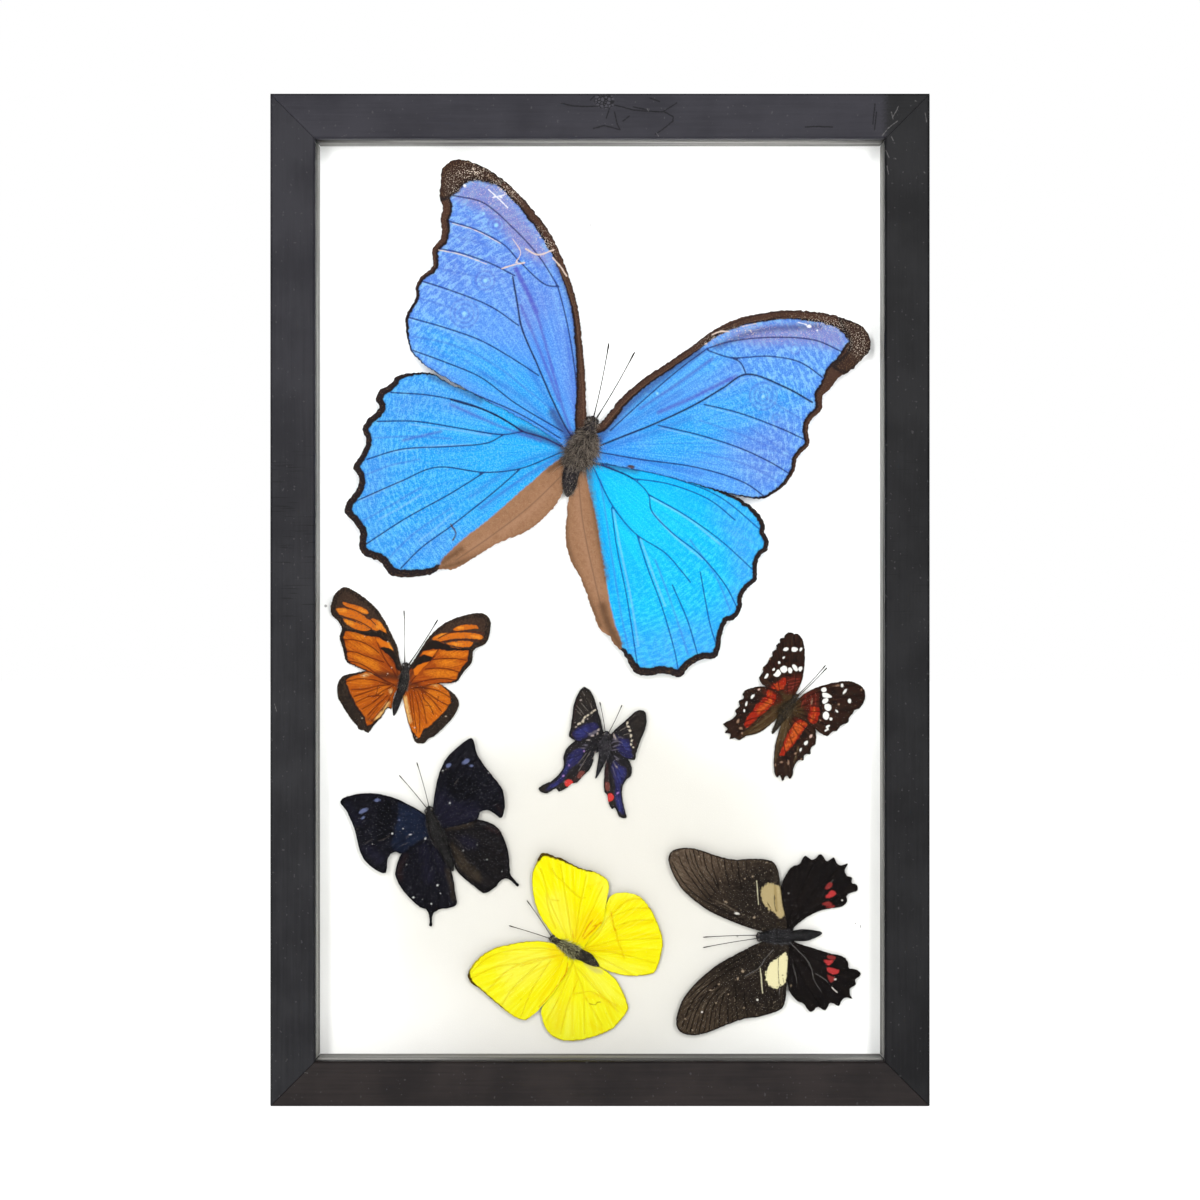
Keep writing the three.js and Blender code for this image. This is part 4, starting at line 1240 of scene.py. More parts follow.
            'eyeLight': [ring(795,349, 6), ring(763,396, 13.5), ring(763,396, 22.5), ring(776,418, 13)],
            'eyeDot': [spot(795,349, 3), spot(763,396, 3), spot(657,393, 2.5)],
            'dusk': [line(7, 600,436, 622,410, 660,378, 700,350), line(5, 716,346, 760,330, 820,326)],
            'hole': [spot(631,466.4, 8.5, 3.6, 10)],
            'cream': [line(1.6, 712,334, 720,331, 728,331), line(0.9, 742,326, 756,323),
                spot(706,343, 3, 1.4, -30)],
            'white': [spot(809,326, 5, 3.4), line(0.8, 798,322, 806,324), spot(817,330, 2)],
        },
    },
    'hindwing_left': {
        'outline': [576,444, 545,424, 520,411, 482,395, 450,384, 430,372.5, 410,372.5, 396,375.5, 390,383,
            379,390, 374.5,398, 378,407, 366,420, 361.5,429, 365.5,440, 361,453, 352.5,467, 358,477,
            356,488, 344.5,505, 344,512, 354,524, 359,533, 358,547, 362,554, 379,562, 390,575, 411,577,
            431,574, 439,569, 451,569.5, 468,560.5, 495,544, 528,529.5, 553,507, 562,492, 567,472,
            574,460],
        'root': (574, 448),
        'border': [576,444,0, 520,424,0, 450,384,0.4, 430,372.5,1.6, 410,372.5,3, 396,375.5,5, 379,390,7,
            366,420,6, 361,453,5.5, 352.5,467,6, 344.5,505,7, 354,524,7, 358,547,7, 379,562,7.5,
            390,575,8, 411,577,7.5, 439,569,5, 451,569.5,0, 528,529,0, 567,472,0],
        'look': {
            'ground': ((0, 188, 255), (80, 190, 253)),
            'tones': {'streaks': (24, 130, 236), 'ripples': (32, 140, 236), 'grain': (32, 132, 230),
                'clouds': (60, 190, 253), 'paleStreaks': (92, 202, 255), 'paleRipples': (120, 210, 255),
                'violet': (104, 152, 230), 'border': (30, 20, 22)},
        },
        'marks': {
            'violet': [area(400,380, 470,400, 480,420, 430,425, 385,415), area(372,430, 385,470, 375,540,
                362,520, 362,450), area(420,530, 455,510, 450,548, 425,562, 395,562)],
            'cyan': [area(420,410, 470,424, 530,440, 560,456, 530,480, 490,512, 440,528, 392,520, 380,500,
                410,470, 404,440), spot(412,440, 30, 14), spot(385,512, 30, 12, -30)],
            'purple': lines(2.0, [450,404, 500,426, 540,440], [402,440, 440,431]),
            'shadow': lines(4, [480,508, 520,480, 560,455], [470,496, 520,462, 560,450], [480,432,
                530,436, 564,447]),
            'vein': lines(1.25, [390,392, 430,395, 470,404, 505,420, 522,431], [376,421, 415,421, 460,428,
                502,434, 522,431], [366,459, 400,449, 450,446, 488,442, 503,434], [357,500, 400,481,
                435,467, 485,472, 520,468, 560,452], [365,544, 405,518, 450,493, 482,473], [400,568,
                420,548, 450,526, 495,490, 520,468]),
            'bold': lines(1.7, [522,431, 545,438, 563,447], [450,399, 490,412, 522,431]),
            'fold': lines(1.2, [361,476, 390,465, 418,459], [360,522, 395,502, 420,487], [480,508,
                530,472, 555,457], [368,438, 410,436, 450,438], [384,562, 412,534, 450,508]),
            'light': lines(1.6, [360,500, 385,488, 402,480], [378,519, 400,507, 420,494], [418,541,
                436,527, 452,513], [388,452, 430,446, 470,444], [410,424, 450,429, 490,435]),
            # painted shade on the hindwing along the edge of the forewing that lies over it
            'dusk': [line(7, 520,428, 550,440, 574,452), line(4, 430,376, 455,387, 480,400)],
            'tan': [area(440,562, 455,545, 490,517, 530,482, 563,456, 582,452, 584,480, 562,505, 530,534,
                495,550, 468,566, 450,575, 438,572)],
            'tanLight': [line(6, 500,532, 530,510, 548,490), line(4, 470,548, 490,536)],
            'tanDark': [line(4, 440,568, 470,559, 510,541, 540,524, 562,500), line(4, 548,470, 566,458),
                line(5, 442,562, 460,549)],
            'tanVein': lines(1.0, [455,560, 490,536, 530,505, 566,470]),
            'hole': [line(1.4, 449.5,524, 455,533, 452,540)],
        },
    },
    'hindwing_right': {
        'outline': [584,452, 640,464, 690,481, 734,495.5, 752,507, 764,522, 765,529, 764.5,532, 768.5,540,
            767,550, 759,557, 757,570, 757,579, 748,587.5, 742,597, 741,609, 734,619.5, 727,622,
            721.5,634, 720,649, 714,658.5, 703,659, 689,667, 679.5,677.5, 666,674, 643,676, 634,672,
            626,659, 621,651, 613,644, 609,636, 600,630, 593,614, 582,583, 569,557, 565,537, 566,516,
            568,496, 573,478, 578,462],
        'root': (580, 456),
        'border': [584,452,0, 640,464,0, 690,481,0.5, 734,495.5,3, 764,522,5, 767,550,5, 757,579,4.5,
            741,609,5, 721.5,634,5, 714,658.5,6, 689,667,7, 666,674,7.5, 643,676,8, 626,659,6, 613,644,0,
            582,583,0, 566,516,0, 578,462,0],
        'look': {
            'ground': ((0, 194, 255), (84, 176, 250)), 'groundFrom': (0.55, 1.05),
            'tones': {'cyan': (0, 222, 255), 'streaks': (2, 158, 250), 'ripples': (4, 164, 250),
                'grain': (4, 158, 246), 'clouds': (16, 194, 255), 'paleRipples': (76, 224, 255),
                'paleStreaks': (52, 222, 255), 'paleGrain': (76, 218, 255), 'vein': (12, 62, 146),
                'bold': (10, 30, 92), 'shadow': (10, 110, 216), 'border': (30, 20, 22),
                'violet': (112, 160, 234)},
        },
        'marks': {
            'violet': [area(720,500, 755,515, 760,550, 748,580, 735,600, 725,560), area(630,640, 660,650,
                700,640, 708,655, 680,668, 640,672), area(664,604, 690,612, 712,640, 700,660, 668,668,
                656,640)],
            'cyan': [area(600,480, 660,490, 720,540, 730,580, 690,620, 640,620, 620,560)],
            'vein': lines(1.1, [593,467, 610,502, 625,523, 637,535, 665,553, 682,572, 690,582], [611,508,
                616,545, 626,595, 634,645, 637,665], [637,536, 648,570, 661,605, 674,650, 678,670],
                [602,465, 632,478, 648,494, 651,510, 670,531, 700,555, 725,585, 738,610], [648,494,
                685,515, 720,540, 752,569], [632,478, 670,484, 710,500, 735,520], [602,463, 640,470,
                680,480, 720,497, 764,533], [672,585, 687,620, 698,657], [700,572, 710,625, 716,645]),
            'bold': lines(1.6, [590,462, 602,465, 618,471, 632,478]),
            'fold': lines(1.2, [600,480, 606,520, 612,560, 620,610, 628,650], [655,560, 670,600, 688,655],
                [690,540, 715,575, 730,610]),
            'light': lines(1.6, [613,510, 620,548, 630,596, 638,646], [640,538, 652,572, 665,606],
                [652,512, 672,534, 702,559], [650,497, 687,518, 720,544]),
            # painted shade on the hindwing along the edge of the forewing that lies over it
            'dusk': [line(5, 586,458, 610,466, 636,470)],
            'shadow': lines(3, [590,470, 597,500, 604,540, 612,590], [594,472, 612,506, 630,530]),
            'tanLight': [line(5, 576,490, 580,520, 586,550, 596,590)],
            'tan': [area(578,455, 585,470, 589,490, 595,515, 600,545, 604,570, 609,600, 614,622, 621,648,
                612,654, 596,637, 584,614, 574,584, 559,557, 556,537, 556,516, 560,496, 566,470)],
            'tanDark': [line(8, 602,606, 608,625, 618,644), line(3, 588,470, 592,500, 597,530, 606,580),
                line(2.5, 566,510, 566,537, 572,560, 586,592, 600,626)],
            'tanVein': lines(1.0, [578,480, 582,520, 592,570, 602,610, 612,634]),
        },
    },
}
makeSpecimen(morpho)

longwing = {
    'name': 'longwing', 'slot': 'orange_wing', 'height': 1.65, 'tipRise': 0.9, 'span': 30,
    'thickness': 0.12, 'cell': 0.9, 'ragged': 0.3, 'pleats': 22, 'pleatHeight': 0.03,
    'spine': [(405, 662.5, 1.5), (405, 666, 4.2), (404, 671, 3.4), (403, 677, 5.2), (402, 684, 5.2),
        (400.5, 690, 4.6), (397.5, 696, 3.8), (395, 703, 4.2), (393.5, 710, 3), (392, 717, 0.8)],
    'antennae': [[(403, 665), (402.3, 610)], [(407, 665), (436.5, 619.5)]],
    'antennaRadius': 0.17, 'waist': 0.5,
    'fur': [(0.02, 0.16, 140, 0.5, 1.0), (0.14, 0.24, 220, 0.7, 1.0), (0.24, 0.5, 500, 0.9, 1.0),
        (0.5, 0.98, 200, 0.3, 0.7)],
    'hairWidth': 0.045,
    'body': {
        'trunk': ((20, 18, 19), (42, 38, 40)), 'antennae': ((40, 36, 34), (70, 64, 60)),
        'fur': ((30, 28, 26), (150, 146, 134)),
    },
    'look': {
        'roughness': 0.5, 'gloss': 0.05, 'groundFrom': (0.05, 0.9),
        'ground': ((160, 66, 10), (216, 108, 14)), 'streakAcross': 40, 'streakAlong': 2.5,
        'relief': 0.0001, 'grainScale': 1800.0,
        'layers': [
            ('bright', (240, 138, 24), 4, 3, 0.85),
            ('clouds', (184, 80, 10), 0.2, 0, 0.4),
            ('cream', (250, 206, 128), 1.8, 1.5, 0.9),
            ('streaks', (138, 50, 6), 0.2, 0, 0.42),
            ('paleStreaks', (244, 146, 30), 0.2, 0, 0.42),
            ('grain', (120, 50, 14), 0.16, 0, 0.3),
            # next: darker bands by the body, and painted shade on the hindwings along the edges of the
            # forewings
            ('dusk', (70, 36, 18), 3.5, 2, 0.85),
            ('vein', (84, 26, 6), 0.6, 0.5, 0.95),
            ('apex', (58, 41, 31), 0.9, 1.4, 1.0),
            ('window', (218, 112, 16), 0.6, 1.2, 1.0),
            ('glow', (248, 156, 44), 1.2, 1.4, 0.85),
            ('windowVein', (74, 28, 12), 0.45, 0.5, 0.9),
            ('bar', (30, 21, 15), 0.6, 1.6, 1.0),
            ('border', (34, 25, 20), 0.8, 1.8, 1.0),
            ('border*', (92, 72, 56), 1.4, 1.4, 0.35, 1.6),
            ('apex*', (92, 70, 54), 1.4, 1.6, 0.35, 1.0),
            ('collar', (158, 152, 134), 1.0, 0.8, 0.8),
            ('white', (222, 200, 176), 0.5, 0.6, 0.8),
        ],
    },
    'forewing_left': {
        'outline': [401,670, 398,660, 396,648, 391,637, 383,621, 376,610, 367,601, 359,595, 350,589.5,
            343,587, 337,590, 332,596, 329,606, 329.5,614, 337,622, 340,629, 338,637, 341,649, 345,662,
            352,666, 369,673.5, 382,681, 393,687, 401,688],
        'root': (402, 680),
        'border': [401,670,3, 396,648,4, 383,621,3.4, 367,601,4, 350,589.5,4, 337,590,4, 330,606,5,
            329.5,614,6, 340,629,4, 341,649,3.4, 345,662,2.6, 352,666,1.2, 369,673.5,0.8, 393,687,0,
            401,688,0],
        'marks': {
            'bright': [area(348,644, 366,646, 376,654, 360,650), area(350,655, 372,661, 378,670, 360,665),
                area(348,634, 362,635, 372,640, 358,640)],
            'dusk': [line(7, 376,676, 388,676, 398,678), line(3, 392,686, 401,688), line(2.5, 395,668,
                397,682)],
            'vein': lines(1.0, [341,640, 352,640, 362,643, 371,648, 377,653], [343,652, 352,652,
                362,655.5, 372,659, 382,662.5], [345,661.5, 356,663, 366,668, 374,674, 382,680, 392,685],
                [374,638, 377,646, 381,655, 386,664, 391,670, 395,678]) + lines(0.7, [352,666.5, 362,670,
                372,676, 384,683], [388,658, 393,665, 396,674]),
            'apex': [area(322,590, 326,626, 341,630, 352,632.5, 362,634, 372,634, 380,637, 386,643,
                392,653, 396,668, 402,668, 400,640, 385,608, 360,586, 340,580)],
            'window': [area(341,602.5, 350,604.5, 358,606.5, 365,610, 367,613.5, 360,613.5, 352,610.5,
                345,607), area(333.5,609, 341,608, 350,610.5, 360,614.5, 368,620, 371,618.5, 378,622,
                383,627, 387,633, 381,633, 375,631, 367,628.5, 358,623, 350,619, 342,616, 335,613),
                area(341.5,619, 350,621, 360,625, 369,629.5, 365,631, 357,630, 350,627.5, 344,623),
                area(374,638.5, 380,640, 386,643, 389,646, 391.5,651, 386,648.5, 380,647)],
            'glow': [spot(340,610.5, 8, 3, 8), spot(361,611, 8, 3, 28), spot(348,623, 9, 4, 24), line(1.6,
                376,621, 381,628), spot(384,630, 3, 4), line(1.8, 386,641.5, 390,650),
                spot(376,627, 6, 3, 30)],
            'windowVein': lines(1.2, [331,607, 342,606.7, 350,609, 360,613.5, 368,619, 374,625], [331,614,
                343,617.3, 352,619.5, 362,624, 370,629]),
            'bar': [area(338,625, 346,629, 354,630.5, 362,631.5, 366,631, 370,629.5, 373,632, 378,630,
                384,633, 387,638, 389,642, 384,642, 379,638.5, 372,637, 364,636, 357,633.5, 349,631.5,
                341,631), area(378.5,648, 384,647.5, 390,650, 394,654, 397,663, 398,671, 395.5,670,
                392,662, 388,656.5, 383,652.5)],
            'white': [spot(386,641.8, 1.4), spot(363,636.6, 1.1), spot(390,668, 1.2), spot(386,674, 1)],
            'collar': [spot(402,673, 3, 5)],
        },
    },
    'forewing_right': {
        'outline': [404,672, 408.5,666, 414,658, 425,640.5, 432,632.5, 440,625.5, 450,620, 461,616,
            477,613, 484,614.5, 489,620, 489.5,628, 487,640, 483,645, 477,647.5, 472,652, 471,662,
            463,672, 455.5,682, 450,683.5, 437,684, 420,687, 403,688],
        'root': (403, 680),
        'border': [404,672,3, 414,658,3, 432,632.5,3, 450,620,3, 461,616,4, 477,613,4, 489,620,5,
            489,630,6, 485,643,4, 472,652,4.5, 471,662,5, 463,672,4, 455,682,2.5, 448,684,1, 420,687,0.3,
            403,688,0],
        'marks': {
            'bright': [area(440,653, 458,653, 464,655, 448,656), area(434,662, 455,661, 460,665, 440,666),
                area(424,673, 445,671, 454,675, 436,677)],
            'dusk': [line(4, 405,682, 410,674, 414,668), line(4, 406,686, 416,685)],
            'vein': lines(1.0, [437,650, 432,658, 426,664, 418,672, 408,684], [431,660, 441,659, 455,659,
                465,660.5], [424,669.5, 435,668.5, 447,669.5, 458,672.5], [409,685, 420,682, 432,679.5,
                443,679, 454,680.5]),
            'apex': [area(404,672, 412,664, 420,652, 428,643, 438,641, 446,646, 460,649, 474,651, 490,645,
                496,622, 482,608, 458,610, 436,620, 418,640, 404,662)],
            'window': [area(452,629.5, 458,626, 467,624.8, 476,626, 477,628.5, 470,629, 461,630.5,
                454,631), area(430.5,639, 436,635, 443,633.5, 452,633, 464,632.8, 477,634, 482.5,637.5,
                479,639.3, 468,638.7, 452,639, 441,641.5, 435,641.5), area(445,643.5, 454,641.8,
                464,641.2, 472,642.6, 470,646, 462,647.3, 452,646), area(419,654, 424,651.5, 430,651.5,
                436,650.5, 434,655, 430,657, 424,655), area(412,668, 416,665, 424,663, 428,662, 422,668,
                414,676)],
            'glow': [spot(475,637, 10, 2.6, 10), spot(440,635.5, 8, 2.4, -18), spot(456,644.5, 9, 3),
                spot(459,628, 6, 2.4), spot(430,653, 7, 2.2, -15)],
            'windowVein': lines(1.3, [437,638.5, 446,634, 456,631.8, 470,631.6, 484,633.5], [438,642.5,
                450,640.3, 466,640, 480,641.6]) + lines(0.8, [436,651, 431,658]),
            'bar': [area(418,652, 424,645, 430,641, 436,640.5, 440,643, 445,644.5, 449,647, 456,648.3,
                465,648.8, 474,648, 476,650, 466,651, 454,650.8, 446,651.3, 440,650, 432,649.5,
                426,650.5), area(411,664, 416,658, 422,655, 428,656.5, 431,658, 428,661.5, 422,663,
                416,666, 411,670)],
            'collar': [spot(406,674, 3, 5)],
        },
    },
    'hindwing_left': {
        'outline': [400,680, 385,674, 367,671, 352,673.5, 343,675.5, 338,679.5, 335,689, 336,698,
            341,707.5, 348.5,719, 355,727, 357,730.5, 361,731, 366,733.5, 372,726, 380,717.5, 386,708.5,
            389,710, 391,701, 394,692, 400,689],
        'root': (400, 686),
        'border': [400,680,0, 385,674,0.5, 367,671,1, 352,673.5,2.4, 343,675.5,5, 336,685,11, 336,698,13,
            348.5,719,12.5, 357,730.5,12, 366,733.5,9, 372,726,3, 380,717.5,1.2, 386,708.5,1, 391,701,0,
            400,689,0],
        'look': {'ground': ((158, 70, 10), (208, 104, 14))},
        'marks': {
            'bright': [area(350,682, 362,680, 370,684, 358,688), area(372,690, 384,688, 378,696)],
            'cream': [line(3.4, 374,720, 380,713, 386,704), spot(363,675.6, 6, 2.4, -8),
                spot(370,673.5, 5, 1.6), spot(389,692, 3, 4)],
            # painted shade along the edge of the forewing near the body, and a dark dash
            'dusk': [line(3, 384,682, 394,684, 400,688), line(2, 366,720, 372,722)],
            'vein': lines(0.9, [344,682, 356,679.5, 370,680, 384,684, 392,686], [350,690, 362,689.5,
                376,686.5, 390,685], [352,697, 364,693, 378,688], [354,703, 367,697, 380,696], [366,696.5,
                373,697, 380,692, 390,687], [360,710, 370,704, 382,694], [366,716, 374,707,
                386,696]) + lines(0.7, [376,686, 375,693, 372,698], [370,722, 378,712, 388,700], [367,719,
                376,708], [380,712, 388,698, 392,690]),
            'white': [spot(362,676, 2, 1), spot(360,719, 1.6, 1)],
        },
    },
    'hindwing_right': {
        'outline': [403,682, 420,682, 435,683, 447,690, 455,697, 457.5,705, 453,716, 447,723.5, 440,730.5,
            432,737.5, 427.5,739, 422.5,744, 413.5,743, 410,733, 406,722.5, 402.5,707, 401,699, 401,690],
        'root': (402, 686),
        'border': [403,682,0, 420,682,0, 435,683,0.6, 447,690,1.6, 455,697,7, 457,706,10, 447,723.5,10.5,
            432,737.5,11, 422.5,744,10, 413.5,743,6, 410,733,1.4, 406,722.5,0.8, 401,699,0, 401,690,0],
        'look': {'ground': ((164, 72, 10), (220, 114, 16))},
        'marks': {
            'bright': [area(426,692, 438,692, 446,699, 436,698), area(424,700, 434,708, 428,712), line(2,
                432,686, 444,691, 451,697)],
            'cream': [line(3.6, 403,698, 405,708, 408,722), spot(434,686, 4, 1.6, 20)],
            # painted shade along the edge of the forewing that lies over the hindwing
            'dusk': [line(4, 404,687, 414,688, 424,689)],
            'vein': lines(0.9, [408,688, 420,688.5, 432,690, 444,695, 450,699], [420,690, 428,695,
                437,701, 446,706], [418,690, 428,698, 436,707, 440,712], [420,691, 422,699, 428,706,
                432,715]) + lines(0.7, [412,690, 416,704, 418,718, 418,733], [410,692, 412,710, 415,734],
                [416,692, 422,708, 425,724], [408,694, 409,706, 412,726], [424,706, 430,707], [437,697,
                436,702]),
            'white': [spot(444.5,717, 2, 1.4), spot(413,728.5, 1.8), spot(415,739, 1.6, 1)],
        },
    },
}
makeSpecimen(longwing)

metalmark = {
    'name': 'metalmark', 'slot': 'blue_black_wing', 'height': 1.65, 'tipRise': 0.5, 'span': 20,
    'thickness': 0.12, 'cell': 0.8, 'ragged': 0.25, 'pleats': 18, 'pleatHeight': 0.02,
    'spine': [(607, 731.5, 1.2), (606, 735, 3.6), (605, 739, 3.6), (604.5, 745, 5.5), (604, 752, 5.5),
        (602.5, 758, 4.6), (601, 763, 3.8), (599, 769, 2.8), (597, 775, 1.5), (595, 780, 0.6)],
    'antennae': [[(605, 734), (599.3, 702.5)], [(608, 734), (621.7, 705.5)]],
    'antennaRadius': 0.13, 'waist': 0.5,
    'fur': [(0.02, 0.2, 140, 0.6, 1.0), (0.2, 0.5, 600, 1.1, 1.0), (0.5, 0.98, 200, 0.35, 0.7)],
    'hairWidth': 0.045,
    'body': {
        'trunk': ((20, 19, 22), (44, 42, 46)), 'antennae': ((38, 34, 32), (66, 58, 54)),
        'fur': ((18, 17, 20), (148, 142, 150)),
    },
    'look': {
        'roughness': 0.45, 'gloss': 0.05, 'groundFrom': (0.2, 0.9),
        'ground': ((27, 26, 30), (44, 37, 28)), 'streakAcross': 34, 'streakAlong': 3.5, 'relief': 0.00008,
        'grainScale': 1700.0, 'raggedScale': 1400.0,
        'layers': [
            ('clouds', (30, 24, 20), 0.2, 0, 0.4),
            ('maroon', (66, 32, 28), 1.6, 1.6, 0.8),
            ('blue', (40, 39, 102), 1.2, 3.0, 0.95),
            ('blueLight', (54, 60, 140), 1.2, 2.4, 0.75),
            ('streaks', (15, 14, 20), 0.16, 0, 0.5),
            ('grain', (14, 13, 18), 0.14, 0, 0.45),
            ('paleStreaks', (88, 78, 70), 0.2, 0, 0.22),
            ('paleGrain', (84, 76, 80), 0.14, 0, 0.2),
            ('vein', (15, 13, 15), 0.5, 0.5, 0.7),
            ('border', (20, 18, 18), 0.7, 1.4, 0.85),
            ('brick', (128, 66, 58), 0.7, 1.6, 0.85),
            ('red', (212, 60, 56), 0.6, 1.0, 1.0),
            ('violet', (176, 132, 200), 0.6, 0.5, 0.9),
            ('thread', (128, 118, 110), 0.4, 0.8, 0.65),
            # painted sheen: grey-white highlights, mostly near the wing bases
            ('haze', (118, 110, 124), 0.8, 1.4, 0.7),
            ('cream', (214, 200, 178), 0.5, 1.8, 0.92),
            ('pale', (182, 166, 160), 0.5, 1.2, 0.8),
        ],
    },
    'forewing_left': {
        'outline': [604,738, 602,729, 600,720, 596.5,708, 593,697, 589,690.5, 583.5,687.5, 580,690,
            576.5,696, 573,706, 571.5,717, 569.5,730, 568,735.5, 569,738, 575,741.5, 588,744, 604,747],
        'root': (604, 744),
        'border': [604,738,0, 600,720,1, 593,697,1.5, 583.5,687.5,2, 576.5,696,2, 571.5,717,2,
            568,735.5,1.6, 575,741.5,0.5, 604,747,0],
        'marks': {
            'maroon': [line(1.4, 577,698, 574,712, 572,726), spot(572,735, 3)],
            'blue': [area(572,735, 575,730, 581,726.5, 588,724, 595,724, 598,728, 593,732, 588,736,
                583,739, 579,741.5, 574,739)],
            'blueLight': [area(575,733, 581,729, 588,728, 586,733, 579,738)],
            'thread': lines(0.7, [581,704, 584,707.5, 587.5,711.5], [590,704, 591.5,709], [582,692,
                584,696], [577,712, 581,716], [576,706, 580,711, 583,715]),
            'cream': [spot(594,711, 3.2, 2, -30), spot(591,713.6, 3, 1.8, -50),
                spot(587.5,715.6, 3.6, 2, -40), spot(584,718.4, 3.4, 2, -40),
                spot(582.4,721, 4, 2.2, -50), spot(578.5,724.6, 5, 2.2, -30), spot(583,722.6, 2, 1.4)],
            'pale': [spot(580,700.8, 2, 2), spot(575.5,727.6, 3, 1.4, -40),
                spot(592,736.6, 3.4, 1.8, -20), spot(597,734, 2, 2.4, 30), spot(598,730.6, 3, 1.8, -30),
                spot(588,741, 3.4, 1.2), spot(587,719.6, 1.6), spot(574.4,723, 1.4)],
            'haze': [spot(594,733, 7, 3, -30), spot(590,735, 5, 3), spot(587,745, 3, 2)],
            'vein': lines(0.7, [604,742, 594,722, 586,700, 582,690], [602,742, 588,724, 577,706],
                [600,743, 584,732, 572,722], [600,730, 596,714, 590,698], [603,740, 597,722, 590,702]),
        },
    },
    'forewing_right': {
        'outline': [605,738, 610,735, 615,730, 627,719.5, 635.5,712, 641,710.7, 645,713, 646.5,721,
            644.5,731, 639,744.5, 636,754, 634.5,760.5, 628,760, 616,755, 605,750],
        'root': (606, 744),
        'border': [605,738,0, 615,730,1, 627,719.5,1.5, 641,710.7,2, 646.5,721,2, 639,744.5,2,
            634.5,760.5,1.6, 616,755,0.5, 605,750,0],
        'marks': {
            'blue': [area(615,735, 620,739, 627,740, 630,745, 631,752, 632,758, 627,760, 621,755, 616,749,
                619,744)],
            'blueLight': [area(622,742, 628,744, 629,751, 625,750)],
            'haze': [line(1.0, 611,744, 616,742, 621,743), line(1.0, 613,747.5, 619,745.5), line(0.8,
                612,751, 618,750), spot(615,740, 5, 3), spot(620,738, 4, 1.6)],
            'thread': lines(0.6, [620,731, 626,728], [623,736, 629,734]),
            'cream': [spot(627,723.4, 2, 3, 10), spot(627.8,727.4, 3.2, 2.2, 15),
                spot(629.6,731.4, 2.4, 2.8, -10), spot(630.6,736.6, 2.2, 3.6),
                spot(631.4,741.8, 2, 2.4, 20), spot(630.8,745.4, 1.8, 2.6), spot(633,748, 2, 1.6)],
            'pale': [spot(613.6,736.6, 2, 4, -12), spot(615,738.4, 1.6, 2.4)],
            'maroon': [line(1.4, 633,742, 636,748, 635,756)],
            'vein': lines(0.7, [607,742, 622,728, 638,716], [607,744, 624,736, 642,728], [608,746,
                624,748, 636,748], [608,748, 622,754, 634,759]),
        },
    },
    'hindwing_left': {
        'outline': [604,744, 588,741, 576,741, 569,746, 564.5,752, 562.5,759.5, 563,764, 562,770,
            555.5,778, 549,783, 541,786.5, 537.5,790.5, 545,794.7, 555,790, 558,792.5, 565.5,789.5,
            571,785, 576,783.7, 583,776.5, 589,771, 592.5,763, 594.5,755, 603,750],
        'root': (602, 748),
        'border': [604,744,0, 588,741,0, 569,746,1.5, 562.5,759.5,1.4, 555.5,778,1.6, 541,786.5,2,
            545,794.7,1.6, 558,792.5,2, 571,785,1, 589,771,1.5, 594.5,755,0.5],
        'marks': {
            'blue': [area(571,753, 577,750, 583,750, 582,757, 577,764, 570,769, 566,775, 562,782, 554,788,
                545,791.5, 548,787, 556,781, 561,774, 565,765, 567,757)],
            'blueLight': [line(2.2, 572,757, 569,764, 565,771), line(1.8, 556,785, 550,788.5)],
            'maroon': [area(571,779, 576,779, 574,783, 570,785)],
            'brick': [area(576.5,779, 577,775.5, 580,772, 583.5,772.5, 582.5,776, 579.5,779.5)],
            'red': [area(563.8,783.4, 566.4,780.6, 570,780.8, 572.4,784, 569,786.8, 566,788)],
            'violet': [spot(562.6,777, 2.6, 1.8, -40), spot(583.4,752.2, 1.8), spot(568.4,766.4, 1.6)],
            'pale': [line(1.0, 594.6,753, 594.8,758), spot(592.6,759.4, 2, 1)],
            'haze': [spot(585,746, 4, 2), spot(582,749, 4, 1.4), spot(580,766, 1.6), spot(564,783, 2, 1)],
            'thread': lines(0.6, [590,752, 584,762, 578,772], [586,754, 578,764]),
            'vein': lines(0.7, [600,748, 584,754, 568,760], [598,750, 582,764, 566,780], [596,752,
                588,766, 580,776]),
        },
    },
    'hindwing_right': {
        'outline': [604,748, 618,752, 628,760, 631.5,770, 630.5,777, 626,781, 622.3,788, 622,799, 625,813,
            626,819, 619,818, 616.5,813, 614,809, 612,810.3, 608.5,805, 606.5,796.5, 604,793, 603.3,784,
            604,773, 605,762, 603,753],
        'root': (606, 750),
        'border': [604,748,0, 618,752,0, 628,760,1.5, 631.5,770,1.6, 622.3,788,1, 622,799,1, 626,819,1.2,
            614,809,2, 606.5,796.5,0.8, 603.3,784,1, 605,762,0],
        'marks': {
            'blue': [area(614,762, 620,767, 625,769, 626.5,775, 623,782, 620,788, 621.5,800, 624,816,
                619,813, 616,806, 614,798, 615,789, 613.5,778, 611,768)],
            'blueLight': [area(617,769, 622,770, 622,779, 618,784), line(2.4, 618,801, 620,812)],
            'maroon': [line(3, 607,766, 606,776, 606,782)],
            'brick': [area(605.2,783, 608.4,784, 609.2,790, 607,793, 605.4,790)],
            'red': [area(607.4,795.4, 611.6,794.8, 613.6,798.6, 611.4,802, 608,802.8, 607.2,799)],
            'violet': [spot(617.3,794.4, 3, 1.6, -35)],
            'haze': [line(1.0, 614,757, 618,760), line(1.0, 613,763, 616.6,769), line(0.8, 612,768,
                614.6,776), spot(617,760.5, 3, 2)],
            'pale': [line(1.2, 605.6,760, 605,764), spot(616,767.4, 2, 1.2, 40)],
            'vein': lines(0.7, [606,752, 614,764, 622,780], [605,754, 609,772, 612,792], [608,752,
                620,762, 630,772]),
        },
    },
}
makeSpecimen(metalmark)


